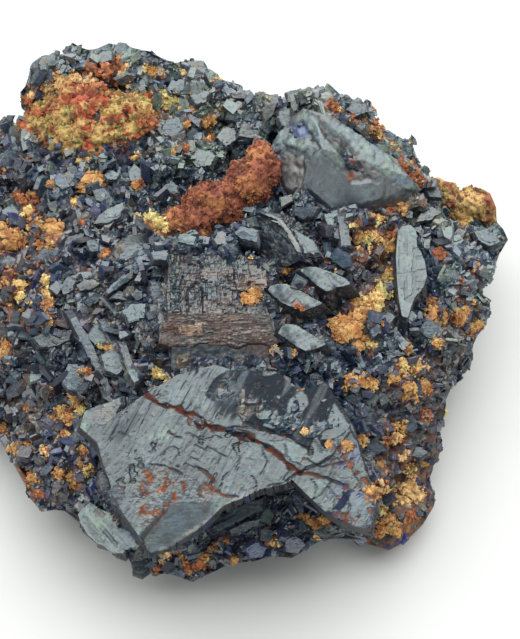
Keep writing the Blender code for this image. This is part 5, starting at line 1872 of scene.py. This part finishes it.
def cover_with_crumbs(name, crust, count, size, finish, seed):
    """Loose angular grains all over a patch."""
    rng = np.random.default_rng(seed)

    def allowed(centres, normals):
        return smoothstep(3, 5, centres[:, 2]) * (0.2 + smoothstep(-0.5, 0.3, normals @ TO_CAMERA))

    spots, normals = sample_surface(crust, count, rng, allowed)
    grain = rng.uniform(*size, count) * (polygon_reach(*to_pixels(spots), OUTLINE)[0] < -2)
    verts = loose_grains(spots + normals * (0.4 * grain)[:, None], grain, 1.5, rng)
    made = mesh_from(name, verts, repeated(OCTAHEDRON_FACES, count, 6), np.full(count * 8, 3))
    paint(made, "tint", np.repeat(rng.uniform(0.15, 1.0, count), 6))
    paint(made, "rust", np.repeat(red_share(spots), 6))
    dress(made, finish)


cover_with_crumbs("back_crumbs", back, 2400, (0.14, 0.42), tan_earth, 55)
cover_with_crumbs("ridge_crumbs", ridge, 2200, (0.10, 0.30), red_earth, 56)
cover_with_crumbs("rim_crumbs", rim, 900, (0.12, 0.32), rim_earth, 57)
set_lumps()
scatter_lumps()


# ---------------------------------------------------------------- floor, lights and air


PAPER = (0.40, 0.408, 0.395)
SKY, SKY_STRENGTH = (0.9, 0.95, 1.0), 0.3
FLOOR_REACH = 3.0  # metres from the middle to a side
LOW = (0, 0, 0.02)  # what the lights look at


def make_floor():
    bm = bmesh.new()
    bmesh.ops.create_grid(bm, x_segments=2, y_segments=2, size=FLOOR_REACH)
    mesh = bpy.data.meshes.new("floor")
    bm.to_mesh(mesh)
    bm.free()
    floor = linked("floor", mesh)
    n = Nodes("floor_paper")
    n.use(Base_Color=PAPER, Roughness=0.9)
    floor.data.materials.append(n.material)


def area_light(name, place, target, size, power):
    """A rectangular light, with its place and size in metres and its power in watts."""
    data = bpy.data.lights.new(name, "AREA")
    data.shape = "RECTANGLE"
    data.size, data.size_y = size
    data.energy = power
    light = linked(name, data)
    light.location = place
    light.rotation_euler = (Vector(target) - Vector(place)).to_track_quat("-Z", "Y").to_euler()


make_floor()
area_light("overhead", (0.05, 0.25, 0.8), (0.05, 0.25, 0), (1.9, 0.95), 29)
area_light("back", (0.05, 1.5, 0.75), LOW, (2.2, 1.0), 26)
area_light("left", (-0.8, -0.2, 0.5), LOW, (0.5, 0.5), 2)
area_light("front", (0.1, -0.9, 0.5), LOW, (0.9, 0.5), 4.3)

world = bpy.data.worlds.new("studio")
bpy.context.scene.world = world
world.use_nodes = True
background = world.node_tree.nodes["Background"]
background.inputs["Color"].default_value = (*SKY, 1)
background.inputs["Strength"].default_value = SKY_STRENGTH
bpy.context.scene.view_settings.view_transform = "Standard"
